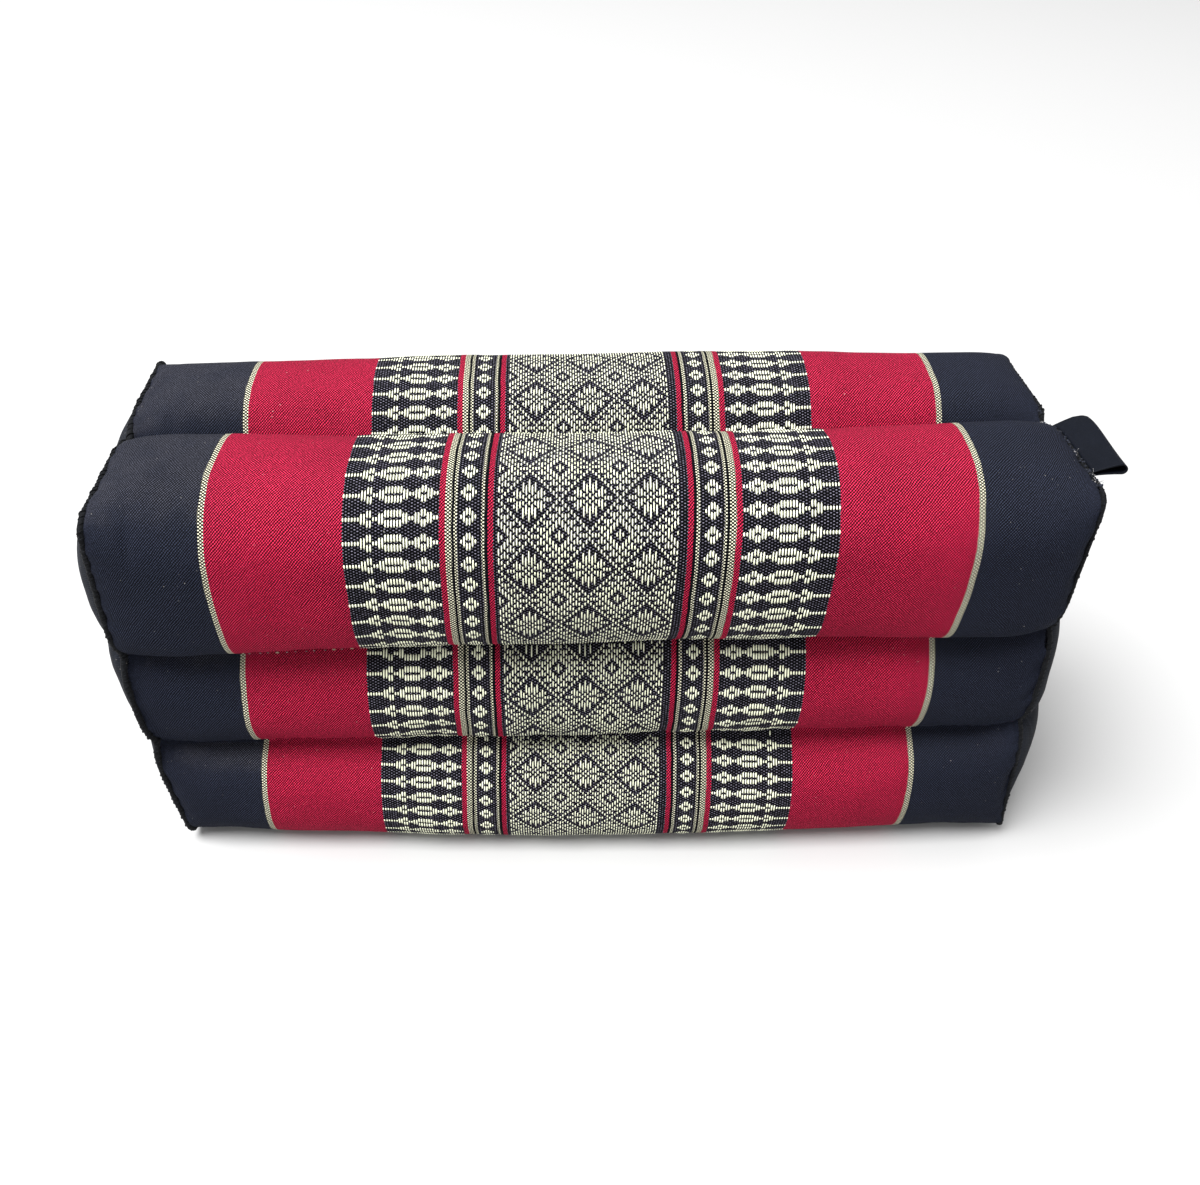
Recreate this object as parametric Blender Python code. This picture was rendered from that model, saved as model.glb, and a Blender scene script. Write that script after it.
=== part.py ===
# Block meditation cushion that stands on its narrow long side.
# Six filled tubes, two deep and three high, run from one end panel to the other.
# X runs along the length, Y away from the front, Z up. The origin is under the middle.
import math

import bmesh
import bpy

# Driving dimensions, in metres
LENGTH = 0.350              # between the crests of the two end seams, about
END_ROUND = 0.027           # length over which the tubes are drawn in at each end
PANEL_THICKNESS = 0.0015
ROLL_RADIUS = 0.0013        # rolled seam around each end
SEAM_NOTCH = 0.0016         # how far the end seam is pulled back at each long seam
PIECE_GAP = 0.00055         # between an end panel and the filling, measured along X
TAPER = 0.025               # share by which the right end is higher, and the left end lower
SEAM_RISE = 0.0030          # how far the two side seams climb from the middle to the right end

# Cross-section sizes at the middle of the length and at the end seams
SECTION = {
    "half_depth": {"middle": 0.0588, "end": 0.0564},
    "bottom": {"middle": 0.0000, "end": 0.0042},
    "top": {"middle": 0.1755, "end": 0.1695},
    "corner": {"middle": 0.0230, "end": 0.0056},
    "lower_seam": {"middle": 0.0534, "end": 0.0625},
    "upper_seam": {"middle": 0.1040, "end": 0.1091},
    "valley": {"middle": -0.0140, "end": -0.0031},
}
CREST_WIDTH = 0.026         # distance from a seam to the full height of a tube
CREST_POWER = 4.4           # how steeply a tube rises out of its seam

# Tubes in order around the section, from the top seam down the front and up the back.
# The crown is added to the crest at the middle of the length.
TUBES = (
    {"name": "front_top", "crest": 0.0038, "crown": 0.0006},
    {"name": "front_middle", "crest": -0.0022, "crown": 0.0000},
    {"name": "front_bottom", "crest": 0.0030, "crown": 0.0023},
    {"name": "rear_bottom", "crest": 0.0045, "crown": 0.0010},
    {"name": "rear_middle", "crest": -0.0022, "crown": 0.0000},
    {"name": "rear_top", "crest": 0.0025, "crown": 0.0005},
)

# The two ends differ a little. The tilt lifts the front edge of the end outline, and the outline is
# further out or in at the ground, half way up, at the top and at the back.
# The dome is the bulge of the end panel beyond its seam, which grows towards the ground by the lean.
ENDS = {
    "left": {
        "side": -1, "tilt": -0.0010, "lift": 0.0007,
        "out_low": -0.0058, "out_middle": 0.0018, "out_top": -0.0001, "out_back": 0.0012,
        "dome": 0.0130, "lean": -0.25, "power_across": 5.2, "power_up": 10.0,
        "trough_upper": 0.0039, "trough_lower": 0.0010,
    },
    "right": {
        "side": 1, "tilt": 0.0026, "lift": 0.0016,
        "out_low": 0.0020, "out_middle": -0.0043, "out_top": -0.0046, "out_back": -0.0006,
        "dome": 0.0145, "lean": 0.40, "power_across": 4.7, "power_up": 6.5,
        "trough_upper": 0.0030, "trough_lower": 0.0010,
    },
}

# Mesh steps
TUBE_STEPS = 14             # around each tube, and even
END_STEPS = 7               # stations in each drawn-in end
MIDDLE_STEPS = 12           # stations between the drawn-in ends
ROLL_SIDES = 6

# End panel relief
TROUGH_DEPTH = 0.0030       # up the middle, where the tubes meet behind the panel
TROUGH_WIDTH = 0.22         # as a part of the distance from the panel's middle to its rim
PANEL_INSET = 0.0018        # from the crest of the end seam to the panel's rim
PANEL_SETBACK = 0.0012      # of the filling's rim behind the end seam
BODY_SETBACK = 0.0018       # of the cover's last station behind the end seam

# Folded label tab in the right end seam
LABEL = {
    "from_y": -0.0046,
    "to_y": -0.0415,
    "steps": 8,
    "reach": 0.0108,
    "layer": 0.0010,
    "layer_gap": 0.0006,
    "rise_deg": 23.0,
    "clearance": 0.00035,
    "bend_steps": 4,
}

COLOURS = {
    "cover_red": {"colour": (0.560, 0.012, 0.050), "roughness": 0.85},
    "navy_cloth": {"colour": (0.022, 0.026, 0.042), "roughness": 0.90},
    "seam_black": {"colour": (0.008, 0.009, 0.012), "roughness": 0.92},
    "label_satin": {"colour": (0.010, 0.013, 0.020), "roughness": 0.55},
}


def clear_scene():
    for old in list(bpy.data.objects):
        bpy.data.objects.remove(old, do_unlink=True)


def make_material(name):
    finish = COLOURS[name]
    material = bpy.data.materials.new(name)
    material.use_nodes = True
    shader = material.node_tree.nodes["Principled BSDF"]
    shader.inputs["Base Color"].default_value = (*finish["colour"], 1.0)
    shader.inputs["Roughness"].default_value = finish["roughness"]
    shader.inputs["Metallic"].default_value = 0.0
    return material


def blend_sizes(drawn_in, along):
    """Section sizes between the middle (0) and an end seam (1), at a place along the length.

    That place runs from -1 at the left end to 1 at the right end.
    """
    sizes = {
        name: pair["middle"] + (pair["end"] - pair["middle"]) * drawn_in
        for name, pair in SECTION.items()
    }
    for seam in ("lower_seam", "upper_seam"):
        sizes[seam] += SEAM_RISE * along
    return sizes


def crowned_share(along):
    """How much of the crown a place along the length has: all at the middle, none at the ends."""
    straight = 1.0 - 2.0 * END_ROUND / LENGTH
    return max(0.0, 1.0 - (along / straight) ** 2)


def half_outline(sizes, distance):
    """Point and outward direction on the front half of the rounded rectangle.

    The distance runs from the middle of the top, down the front, to the middle of the bottom.
    """
    radius = sizes["corner"]
    flat = sizes["half_depth"] - radius
    upright = sizes["top"] - sizes["bottom"] - 2.0 * radius
    arc = 0.5 * math.pi * radius
    if distance <= flat:
        return (-distance, sizes["top"]), (0.0, 1.0)
    distance -= flat
    if distance <= arc:
        turn = distance / radius
        out = (-math.sin(turn), math.cos(turn))
        return (-flat + radius * out[0], sizes["top"] - radius + radius * out[1]), out
    distance -= arc
    if distance <= upright:
        return (-sizes["half_depth"], sizes["top"] - radius - distance), (-1.0, 0.0)
    distance -= upright
    if distance <= arc:
        turn = distance / radius
        out = (-math.cos(turn), -math.sin(turn))
        return (-flat + radius * out[0], sizes["bottom"] + radius + radius * out[1]), out
    distance -= arc
    return (-flat + distance, sizes["bottom"]), (0.0, -1.0)


def seam_distances(sizes):
    """Distances of the four seams met on the front half: top, upper, lower and bottom."""
    radius = sizes["corner"]
    to_front = sizes["half_depth"] - radius + 0.5 * math.pi * radius
    height = sizes["top"] - sizes["bottom"]
    total = 2.0 * to_front + height - 2.0 * radius
    upper = to_front + sizes["top"] - radius - sizes["upper_seam"]
    lower = to_front + sizes["top"] - radius - sizes["lower_seam"]
    return (0.0, upper, lower, total)


def tube_fractions():
    """Even steps around a tube, drawn a little closer together at its seams."""
    even = [step / TUBE_STEPS for step in range(TUBE_STEPS)]
    return [0.5 * t + 0.25 * (1.0 - math.cos(math.pi * t)) for t in even]


def section_ring(drawn_in, along, end):
    """One closed ring of (y, z, out_y, out_z, fullness) around all six tubes."""
    sizes = blend_sizes(drawn_in, along)
    seams = seam_distances(sizes)
    ring = []
    for index, tube in enumerate(TUBES):
        front = index < 3
        row = index if front else 5 - index
        start, stop = (seams[row], seams[row + 1]) if front else (seams[row + 1], seams[row])
        crest = (tube["crest"] + tube["crown"] * crowned_share(along)) * (1.0 - drawn_in)
        span = abs(stop - start)
        for fraction in tube_fractions():
            distance = start + (stop - start) * fraction
            (y, z), (out_y, out_z) = half_outline(sizes, distance)
            near = min(min(fraction, 1.0 - fraction) * span / CREST_WIDTH, 1.0)
            fullness = 1.0 - (1.0 - near) ** CREST_POWER
            raised = sizes["valley"] + (crest - sizes["valley"]) * fullness
            mirror = 1.0 if front else -1.0
            y, out_y = y * mirror + out_y * mirror * raised, out_y * mirror
            z = settle(y, z + out_z * raised, drawn_in, along, end)
            ring.append((y, z, out_y, out_z, fullness))
    return ring


def settle(y, z, drawn_in, along, end):
    """Height of a point once its end is tilted, the length is tapered and it rests on the ground."""
    height = SECTION["top"]["middle"]
    z += (end["tilt"] * -y / SECTION["half_depth"]["end"] + end["lift"]) * drawn_in * z / height
    return max(z * (1.0 + TAPER * along), 0.0)


def end_shift(end, y, z):
    """How far an end outline is further out than half the length, at a place on it."""
    up = min(z / SECTION["top"]["end"], 1.0)
    straight = end["out_low"] + (end["out_top"] - end["out_low"]) * up
    bow = end["out_middle"] - 0.5 * (end["out_low"] + end["out_top"])
    return straight + 4.0 * bow * up * (1.0 - up) + end["out_back"] * y / SECTION["half_depth"]["end"]


def end_line(end):
    """The crest line of an end seam, as (x, y, z, out_y, out_z) around the section."""
    line = []
    for y, z, out_y, out_z, fullness in section_ring(1.0, end["side"], end):
        x = 0.5 * LENGTH + end_shift(end, y, z) - SEAM_NOTCH * (1.0 - fullness)
        line.append((x * end["side"], y, z, out_y, out_z))
    return line


def patch_grid(end):
    """Rows of points that fill the end outline, rim included, as a four-sided patch."""
    rim = []
    for x, y, z, out_y, out_z in end_line(end):
        x -= end["side"] * PANEL_SETBACK
        rim.append((x, y - out_y * PANEL_INSET, z - out_z * PANEL_INSET))
    half = TUBE_STEPS // 2
    across = 2 * half
    down = 2 * TUBE_STEPS
    count = len(rim)

    def rim_at(index):
        return rim[index % count]

    # The patch's corners are the middles of the four corner tubes
    grid = []
    for j in range(down + 1):
        row = []
        for i in range(across + 1):
            a = i / across
            b = j / down
            top = rim_at(half - i)
            low = rim_at(half + down + i)
            front = rim_at(half + j)
            back = rim_at(half - across - j)
            corners = (rim_at(half), rim_at(half - across),
                       rim_at(half + down), rim_at(half + down + across))
            point = []
            for axis in range(3):
                ruled_up = (1 - b) * top[axis] + b * low[axis]
                ruled_across = (1 - a) * front[axis] + a * back[axis]
                bilinear = ((1 - a) * (1 - b) * corners[0][axis] + a * (1 - b) * corners[1][axis]
                            + (1 - a) * b * corners[2][axis] + a * b * corners[3][axis])
                point.append(ruled_up + ruled_across - bilinear)
            bulge = dome_height(2 * a - 1, 2 * b - 1, end)
            row.append((point[0] + end["side"] * bulge, point[1], point[2]))
        grid.append(row)
    return grid


def dome_height(a, b, end):
    """Height of an end panel over its rim; a and b run from -1 to 1 across and down the patch."""
    dome = (1 - abs(a) ** end["power_across"]) * (1 - abs(b) ** end["power_up"])
    trough = TROUGH_DEPTH * math.exp(-(a / TROUGH_WIDTH) ** 2)
    for seam, depth in ((-0.5, end["trough_upper"]), (0.5, end["trough_lower"])):
        trough = max(trough, depth * math.exp(-((b - seam) / (0.5 * TROUGH_WIDTH)) ** 2))
    return (end["dome"] * (1 + end["lean"] * b) - trough) * dome


def patch_ring(across, down):
    """Grid places of the patch's rim, in the same order as the section ring."""
    half = across // 2
    ring = [(i, 0) for i in range(half, 0, -1)]
    ring += [(0, j) for j in range(down)]
    ring += [(i, down) for i in range(across)]
    ring += [(across, j) for j in range(down, 0, -1)]
    ring += [(i, 0) for i in range(across, half, -1)]
    return ring


class Shell:
    """Collects points and faces of one closed surface."""

    def __init__(self):
        self.points = []
        self.faces = []

    def add_points(self, points):
        first = len(self.points)
        self.points.extend(points)
        return list(range(first, len(self.points)))

    def bridge(self, ring_a, ring_b):
        count = len(ring_a)
        for i in range(count):
            after = (i + 1) % count
            self.faces.append((ring_a[i], ring_a[after], ring_b[after], ring_b[i]))

    def fill_grid(self, places):
        for row_a, row_b in zip(places, places[1:]):
            for i in range(len(row_a) - 1):
                self.faces.append((row_a[i], row_a[i + 1], row_b[i + 1], row_b[i]))

    def build(self, name, material, sharp_deg=60.0):
        mesh = bpy.data.meshes.new(name)
        mesh.from_pydata(self.points, [], self.faces)
        shell = bmesh.new()
        shell.from_mesh(mesh)
        bmesh.ops.recalc_face_normals(shell, faces=shell.faces)
        shell.to_mesh(mesh)
        shell.free()
        mesh.shade_smooth()
        mesh.set_sharp_from_angle(angle=math.radians(sharp_deg))
        mesh.materials.append(material)
        item = bpy.data.objects.new(name, mesh)
        bpy.context.scene.collection.objects.link(item)
        return item


def stations():
    """Places along the length as (x, drawn-in share, end)."""
    straight = 0.5 * LENGTH - END_ROUND
    reach = END_ROUND - BODY_SETBACK
    places = []
    for step in range(END_STEPS, 0, -1):
        turn = 0.5 * math.pi * step / END_STEPS
        places.append((-straight - reach * math.sin(turn), 1 - math.cos(turn), ENDS["left"]))
    for step in range(MIDDLE_STEPS + 1):
        x = -straight + 2 * straight * step / MIDDLE_STEPS
        places.append((x, 0.0, ENDS["left"] if x < 0 else ENDS["right"]))
    for step in range(1, END_STEPS + 1):
        turn = 0.5 * math.pi * step / END_STEPS
        places.append((straight + reach * math.sin(turn), 1 - math.cos(turn), ENDS["right"]))
    return places


def grid_points(shell, grid, ring, rim_places):
    """Add a patch's inner points to a shell and hand back all its places, row by row."""
    known = {place: rim_places[k] for k, place in enumerate(ring)}
    places = []
    for j, row in enumerate(grid):
        line = []
        for i, point in enumerate(row):
            if (i, j) not in known:
                known[(i, j)] = shell.add_points([point])[0]
            line.append(known[(i, j)])
        places.append(line)
    return places


def make_body(material):
    """The filled tubes: one closed solid with its crown, seams and drawn-in ends."""
    shell = Shell()
    rings = []
    for x, drawn_in, end in stations():
        stretch = end["side"] * math.sqrt(1 - (1 - drawn_in) ** 2)
        ring = []
        for y, z, _, _, full in section_ring(drawn_in, 2.0 * x / LENGTH, end):
            ring.append((x + stretch * (end_shift(end, y, z) - SEAM_NOTCH * (1 - full)), y, z))
        rings.append(shell.add_points(ring))
    for ring_a, ring_b in zip(rings, rings[1:]):
        shell.bridge(ring_a, ring_b)
    for end, last in ((ENDS["left"], rings[0]), (ENDS["right"], rings[-1])):
        grid = patch_grid(end)
        ring = patch_ring(len(grid[0]) - 1, len(grid) - 1)
        rim = shell.add_points([grid[j][i] for i, j in ring])
        shell.bridge(last, rim)
        shell.fill_grid(grid_points(shell, grid, ring, rim))
    return shell.build("filled_body", material)


def make_panel(name, end, material):
    """A domed end panel: a sheet over the filling, inside the end seam."""
    shell = Shell()
    grid = patch_grid(end)
    ring = patch_ring(len(grid[0]) - 1, len(grid) - 1)
    rims = []
    for distance in (PIECE_GAP, PIECE_GAP + PANEL_THICKNESS):
        layer = [[(x + end["side"] * distance, y, z) for x, y, z in row] for row in grid]
        rim = shell.add_points([layer[j][i] for i, j in ring])
        shell.fill_grid(grid_points(shell, layer, ring, rim))
        rims.append(rim)
    shell.bridge(*rims)
    return shell.build(name, material)


def make_end_seam(name, end, material):
    """The rolled seam: a round roll that follows the end outline."""
    shell = Shell()
    rings = [[] for _ in range(ROLL_SIDES)]
    for x, y, z, out_y, out_z in end_line(end):
        for side in range(ROLL_SIDES):
            turn = 2 * math.pi * side / ROLL_SIDES
            out = ROLL_RADIUS * math.cos(turn)
            along = ROLL_RADIUS * math.sin(turn)
            rings[side].append((x + along, y + out * out_y, z + out * out_z))
    places = [shell.add_points(ring) for ring in rings]
    for side in range(ROLL_SIDES):
        shell.bridge(places[side], places[(side + 1) % ROLL_SIDES])
    return shell.build(name, material)


def label_profile():
    """Closed section of the folded tab as (reach, height) pairs: outer run, then inner run."""
    half = LABEL["layer"] + 0.5 * LABEL["layer_gap"]
    inner = 0.5 * LABEL["layer_gap"]
    straight = LABEL["reach"] - half
    steps = LABEL["bend_steps"]
    angles = [math.pi * (step / steps - 0.5) for step in range(steps + 1)]
    runs = []
    for radius in (half, inner):
        bend = [(straight + radius * math.cos(a), radius * math.sin(a)) for a in angles]
        runs.append([(0.0, -radius)] + bend + [(0.0, radius)])
    return runs


def seam_point(line, y_wanted):
    """The point of the end line, along the top of the front tube, at a given depth."""
    top = line[:TUBE_STEPS // 2 + 1]
    for low, high in zip(top, top[1:]):
        if high[1] <= y_wanted <= low[1]:
            share = (y_wanted - low[1]) / (high[1] - low[1])
            return [a + (b - a) * share for a, b in zip(low, high)]
    return list(top[-1])


def make_label(material):
    """A tab of ribbon folded in half, caught in the right end seam."""
    shell = Shell()
    line = end_line(ENDS["right"])
    rise = math.radians(LABEL["rise_deg"])
    away = (math.cos(rise), math.sin(rise))
    start = ROLL_RADIUS + LABEL["clearance"]
    outer, inner = label_profile()
    columns = []
    for step in range(LABEL["steps"] + 1):
        share = step / LABEL["steps"]
        base = seam_point(line, LABEL["from_y"] + (LABEL["to_y"] - LABEL["from_y"]) * share)
        runs = []
        for run in (outer, inner):
            points = []
            for reach, height in run:
                distance = start + reach
                x = base[0] + away[0] * distance - away[1] * height
                z = base[2] + away[1] * distance + away[0] * height
                points.append((x, base[1], z))
            runs.append(shell.add_points(points))
        columns.append(runs[0] + runs[1][::-1])
    for column_a, column_b in zip(columns, columns[1:]):
        shell.bridge(column_a, column_b)
    half = len(columns[0]) // 2
    for column in (columns[0], columns[-1]):
        shell.fill_grid([column[:half], column[:half - 1:-1]])
    return shell.build("label_tab", material, sharp_deg=40.0)


def main():
    clear_scene()
    materials = {name: make_material(name) for name in COLOURS}
    make_body(materials["cover_red"])
    for side, end in ENDS.items():
        make_panel("end_panel_" + side, end, materials["navy_cloth"])
        make_end_seam("end_seam_" + side, end, materials["seam_black"])
    make_label(materials["label_satin"])


main()
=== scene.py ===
import math

import bmesh
import bpy
import numpy as np
from mathutils import Matrix, Vector, noise


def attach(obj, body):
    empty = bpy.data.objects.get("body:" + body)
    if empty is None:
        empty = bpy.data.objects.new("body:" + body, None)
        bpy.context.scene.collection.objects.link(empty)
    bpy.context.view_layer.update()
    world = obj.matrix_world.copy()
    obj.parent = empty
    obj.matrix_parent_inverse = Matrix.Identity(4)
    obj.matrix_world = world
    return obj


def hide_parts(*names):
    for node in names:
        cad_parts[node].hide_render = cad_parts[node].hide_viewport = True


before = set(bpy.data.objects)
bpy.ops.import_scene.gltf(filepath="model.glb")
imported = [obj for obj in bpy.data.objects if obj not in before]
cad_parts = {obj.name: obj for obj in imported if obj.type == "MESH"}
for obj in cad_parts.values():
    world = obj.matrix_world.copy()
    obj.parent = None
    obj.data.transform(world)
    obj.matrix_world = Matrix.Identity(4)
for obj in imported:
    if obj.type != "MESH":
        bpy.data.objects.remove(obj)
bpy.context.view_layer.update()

rng = np.random.default_rng(12)

# Sizes are in metres: X along the cushion, Y from front to back, Z up

cushion = {  # the filled tubes, shaped as the solids are
    "length": 0.350,  # between the crests of the end seams
    "endRound": 0.027,  # where the tubes are drawn in at each end
    "crestWidth": 0.026,
    "crestPower": 4.4,
    "seamNotch": 0.0016,
    "taper": 0.025,  # the right end is this share higher, the left end lower
    "seamRise": 0.0030,  # of the side seams, from the middle to the right end
    "setback": 0.0006,  # the cover's last row behind the end seam
    "tubeRows": 54,  # rows of mesh around one tube, even
    "endRows": 22,
    "middleRows": 168,
    "floorGap": 0.0005,  # cloth over the floor
    "bakeMargin": 0.002,
}
sectionSizes = {  # at the middle of the length, and at the end seams
    "halfDepth": (0.0588, 0.0564),
    "bottom": (0.0000, 0.0042),
    "top": (0.1755, 0.1695),
    "corner": (0.0230, 0.0056),
    "lowerSeam": (0.0534, 0.0625),
    "upperSeam": (0.1040, 0.1091),
    "valley": (-0.0140, -0.0031),
}
# Tubes from the top seam down the front, then up the back. A pattern row comes every "rowPitch" along the
# cloth, the first one at "row" from the tube's first seam, and a star every third row from "star". The skew
# tips the rows along the length. The pull is how far the stripes were drawn sideways at both seams.
tubeSizes = ("crest", "crown", "rowPitch", "row", "star", "skew", "pull")
tubes = [dict(zip(tubeSizes, sizes)) for sizes in (
    (0.0038, 0.0006, 0.00862, 0.0081, 0.01125, 0.0, (0.0, -0.0012)),
    (-0.0022, 0.0, 0.00834, 0.0055, 0.0244, 0.021, (-0.0012, -0.0012)),
    (0.0030, 0.0023, 0.0070, 0.00365, 0.0182, 0.056, (-0.0003, -0.0003)),
    (0.0045, 0.0010, 0.0082, 0.0040, 0.0070, 0.01, (0.0004, 0.0)),
    (-0.0022, 0.0, 0.0082, 0.0030, 0.0060, -0.01, (0.0, -0.0005)),
    (0.0025, 0.0005, 0.00805, 0.0070, 0.00185, 0.0, (-0.0008, 0.0008)),
)]
# The tilt lifts the front edge of an end's outline, which is further out or in low down, half way up, at the
# top and at the back. The end panel's dome grows towards the floor by its lean.
ends = {
    "left": {
        "side": -1, "tilt": -0.0010, "lift": 0.0007,
        "outLow": -0.0058, "outMiddle": 0.0018, "outTop": -0.0001, "outBack": 0.0012,
        "dome": 0.0130, "lean": -0.25, "acrossPower": 5.2, "upPower": 10.0,
        "upperTrough": 0.0039, "lowerTrough": 0.0010,
    },
    "right": {
        "side": 1, "tilt": 0.0026, "lift": 0.0016,
        "outLow": 0.0020, "outMiddle": -0.0043, "outTop": -0.0046, "outBack": -0.0006,
        "dome": 0.0145, "lean": 0.40, "acrossPower": 4.7, "upPower": 6.5,
        "upperTrough": 0.0030, "lowerTrough": 0.0010,
    },
}


def sizesAt(drawnIn, along):
    # along runs from -1 at the left end to 1 at the right end
    sizes = {name: pair[0] + (pair[1] - pair[0]) * drawnIn for name, pair in sectionSizes.items()}
    for side in ("lowerSeam", "upperSeam"):
        sizes[side] += cushion["seamRise"] * along
    return sizes


def halfOutline(sizes, distance):
    # front half of a rounded rectangle, from the middle of the top to the middle of the bottom
    radius = sizes["corner"]
    flat = sizes["halfDepth"] - radius
    upright = sizes["top"] - sizes["bottom"] - 2 * radius
    arc = 0.5 * math.pi * radius
    marks = np.cumsum([flat, arc, upright, arc])
    turn = np.clip((distance - marks[0]) / radius, 0, 0.5 * math.pi)
    turn = turn + np.clip((distance - marks[2]) / radius, 0, 0.5 * math.pi)
    outY, outZ = -np.sin(turn), np.cos(turn)
    y = -np.clip(distance, 0, flat) + radius * outY + np.clip(distance - marks[3], 0, None)
    z = sizes["top"] - radius + radius * outZ - np.clip(distance - marks[1], 0, upright)
    return y, z, outY, outZ


def seamMarks(sizes):
    radius = sizes["corner"]
    toFront = sizes["halfDepth"] - radius + 0.5 * math.pi * radius
    total = 2 * toFront + sizes["top"] - sizes["bottom"] - 2 * radius
    start = toFront + sizes["top"] - radius
    return 0.0, start - sizes["upperSeam"], start - sizes["lowerSeam"], total


def sectionRing(drawnIn, along, end, fractions, slimmer=0.0):
    # one ring round all six tubes: points, outward directions, and how full the tube is there
    sizes = sizesAt(drawnIn, along)
    marks = seamMarks(sizes)
    crowned = max(0.0, 1 - (along / (1 - 2 * cushion["endRound"] / cushion["length"])) ** 2)
    parts = []
    for index, tube in enumerate(tubes):
        front = index < 3
        row = index if front else 5 - index
        start, stop = (marks[row], marks[row + 1]) if front else (marks[row + 1], marks[row])
        y, z, outY, outZ = halfOutline(sizes, start + (stop - start) * fractions)
        toSeam = np.minimum(fractions, 1 - fractions) * abs(stop - start)
        full = 1 - (1 - np.clip(toSeam / cushion["crestWidth"], 0, 1)) ** cushion["crestPower"]
        crest = (tube["crest"] + tube["crown"] * crowned - slimmer) * (1 - drawnIn)
        raised = sizes["valley"] + (crest - sizes["valley"]) * full
        y, z = y + outY * raised, z + outZ * raised
        if not front:
            y, outY = -y, -outY
        parts.append(np.stack([y, z, outY, outZ, full], 1))
    ring = np.concatenate(parts)
    tilt = end["tilt"] * -ring[:, 0] / sectionSizes["halfDepth"][1] + end["lift"]
    ring[:, 1] += tilt * drawnIn * ring[:, 1] / sectionSizes["top"][0]
    ring[:, 1] *= 1 + cushion["taper"] * along
    return ring


def tubeFractions(rows):
    even = np.arange(rows) / rows  # a little closer together at the seams
    return 0.5 * even + 0.25 * (1 - np.cos(math.pi * even))


def stations(endRows, middleRows):
    # places along the length: x, how far the end draws the section in, which end, and length of cloth
    straight = 0.5 * cushion["length"] - cushion["endRound"]
    reach = cushion["endRound"] - cushion["setback"]
    rounded = []
    for turn in 0.5 * math.pi * np.arange(1, endRows + 1) / endRows:
        rounded.append((straight + reach * math.sin(turn), 1 - math.cos(turn), straight + reach * turn))
    places = [(-x, drawn, ends["left"], -cloth) for x, drawn, cloth in reversed(rounded)]
    for x in np.linspace(-straight, straight, middleRows + 1):
        places.append((x, 0.0, ends["left"] if x < 0 else ends["right"], x))
    return places + [(x, drawn, ends["right"], cloth) for x, drawn, cloth in rounded]


def endShift(end, ring):
    # how much further out than half the length an end's outline is
    up = np.minimum(ring[:, 1] / sectionSizes["top"][1], 1)
    straight = end["outLow"] + (end["outTop"] - end["outLow"]) * up
    bow = end["outMiddle"] - 0.5 * (end["outLow"] + end["outTop"])
    back = end["outBack"] * ring[:, 0] / sectionSizes["halfDepth"][1]
    return straight + 4 * bow * up * (1 - up) + back - cushion["seamNotch"] * (1 - ring[:, 4])


def coverGrid(places, fractions, slimmer=0.0):
    rows = []
    for x, drawnIn, end, cloth in places:
        ring = sectionRing(drawnIn, 2 * x / cushion["length"], end, fractions, slimmer)
        stretch = end["side"] * math.sqrt(1 - (1 - drawnIn) ** 2)
        rows.append(np.stack([x + stretch * endShift(end, ring), ring[:, 0], ring[:, 1]], 1))
    grid = np.array(rows)
    grid[..., 2] = np.maximum(grid[..., 2], cushion["floorGap"])
    return grid


def endLine(end, rows):
    # crest line of an end seam, with its outward directions
    ring = sectionRing(1.0, end["side"], end, tubeFractions(rows))
    x = end["side"] * (0.5 * cushion["length"] + endShift(end, ring))
    return np.stack([x, ring[:, 0], ring[:, 1]], 1), np.stack([0 * x, ring[:, 2], ring[:, 3]], 1)


def unit(vectors):
    return vectors / np.linalg.norm(vectors, axis=-1, keepdims=True)


def addObject(name, data):
    item = bpy.data.objects.new(name, data)
    bpy.context.scene.collection.objects.link(item)
    return item


def meshObject(name, points, faces, material=None, edges=()):
    mesh = bpy.data.meshes.new(name)
    mesh.from_pydata(np.reshape(points, (-1, 3)).tolist(), edges, faces)
    if faces:
        made = bmesh.new()
        made.from_mesh(mesh)
        if made.calc_volume(signed=True) < 0:
            mesh.flip_normals()
        made.free()
    mesh.shade_smooth()
    if material:
        mesh.materials.append(material)
    return addObject(name, mesh)


def dress(item, solid=None):
    # a finished piece: hides the solid that it stands for, and joins it to its body
    if solid:
        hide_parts(solid)
    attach(item, "root")


def ringFaces(along, around):
    # faces between rings of points, and a face over each end
    places = np.arange(along * around).reshape(along, around)
    after = np.roll(places, -1, 1)
    quads = np.stack([places[:-1], after[:-1], after[1:], places[1:]], -1)
    return quads.transpose(1, 0, 2).reshape(-1, 4).tolist() + [places[0][::-1].tolist(), places[-1].tolist()]


def loopFaces(along, around):
    # the same, closed into a loop instead
    places = np.arange(along * around).reshape(along, around)
    after, ahead = np.roll(places, -1, 1), np.roll(places, -1, 0)
    return np.stack([places, after, np.roll(after, -1, 0), ahead], -1).reshape(-1, 4).tolist()


def sheetFaces(rows, columns):
    # two layers of a grid, and the faces that join their edges
    outer = np.arange(rows * columns).reshape(rows, columns)
    quads = np.stack([outer[:-1, :-1], outer[:-1, 1:], outer[1:, 1:], outer[1:, :-1]], -1).reshape(-1, 4)
    border = np.concatenate([outer[0, :-1], outer[:-1, -1], outer[-1, :0:-1], outer[:0:-1, 0]])
    after, shift = np.roll(border, -1), rows * columns
    rim = np.stack([after, border, border + shift, after + shift], -1)
    return np.concatenate([quads, quads[:, ::-1] + shift, rim]).tolist()


def sheetObject(name, outer, inner, material):
    return meshObject(name, np.stack([outer, inner]), sheetFaces(*outer.shape[:2]), material)


def circle(steps, first, second):
    # unit directions all round, from the first towards the second
    turn = 2 * math.pi * np.arange(steps)[:, None] / steps
    return first[..., None, :] * np.cos(turn) + second[..., None, :] * np.sin(turn)


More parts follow.
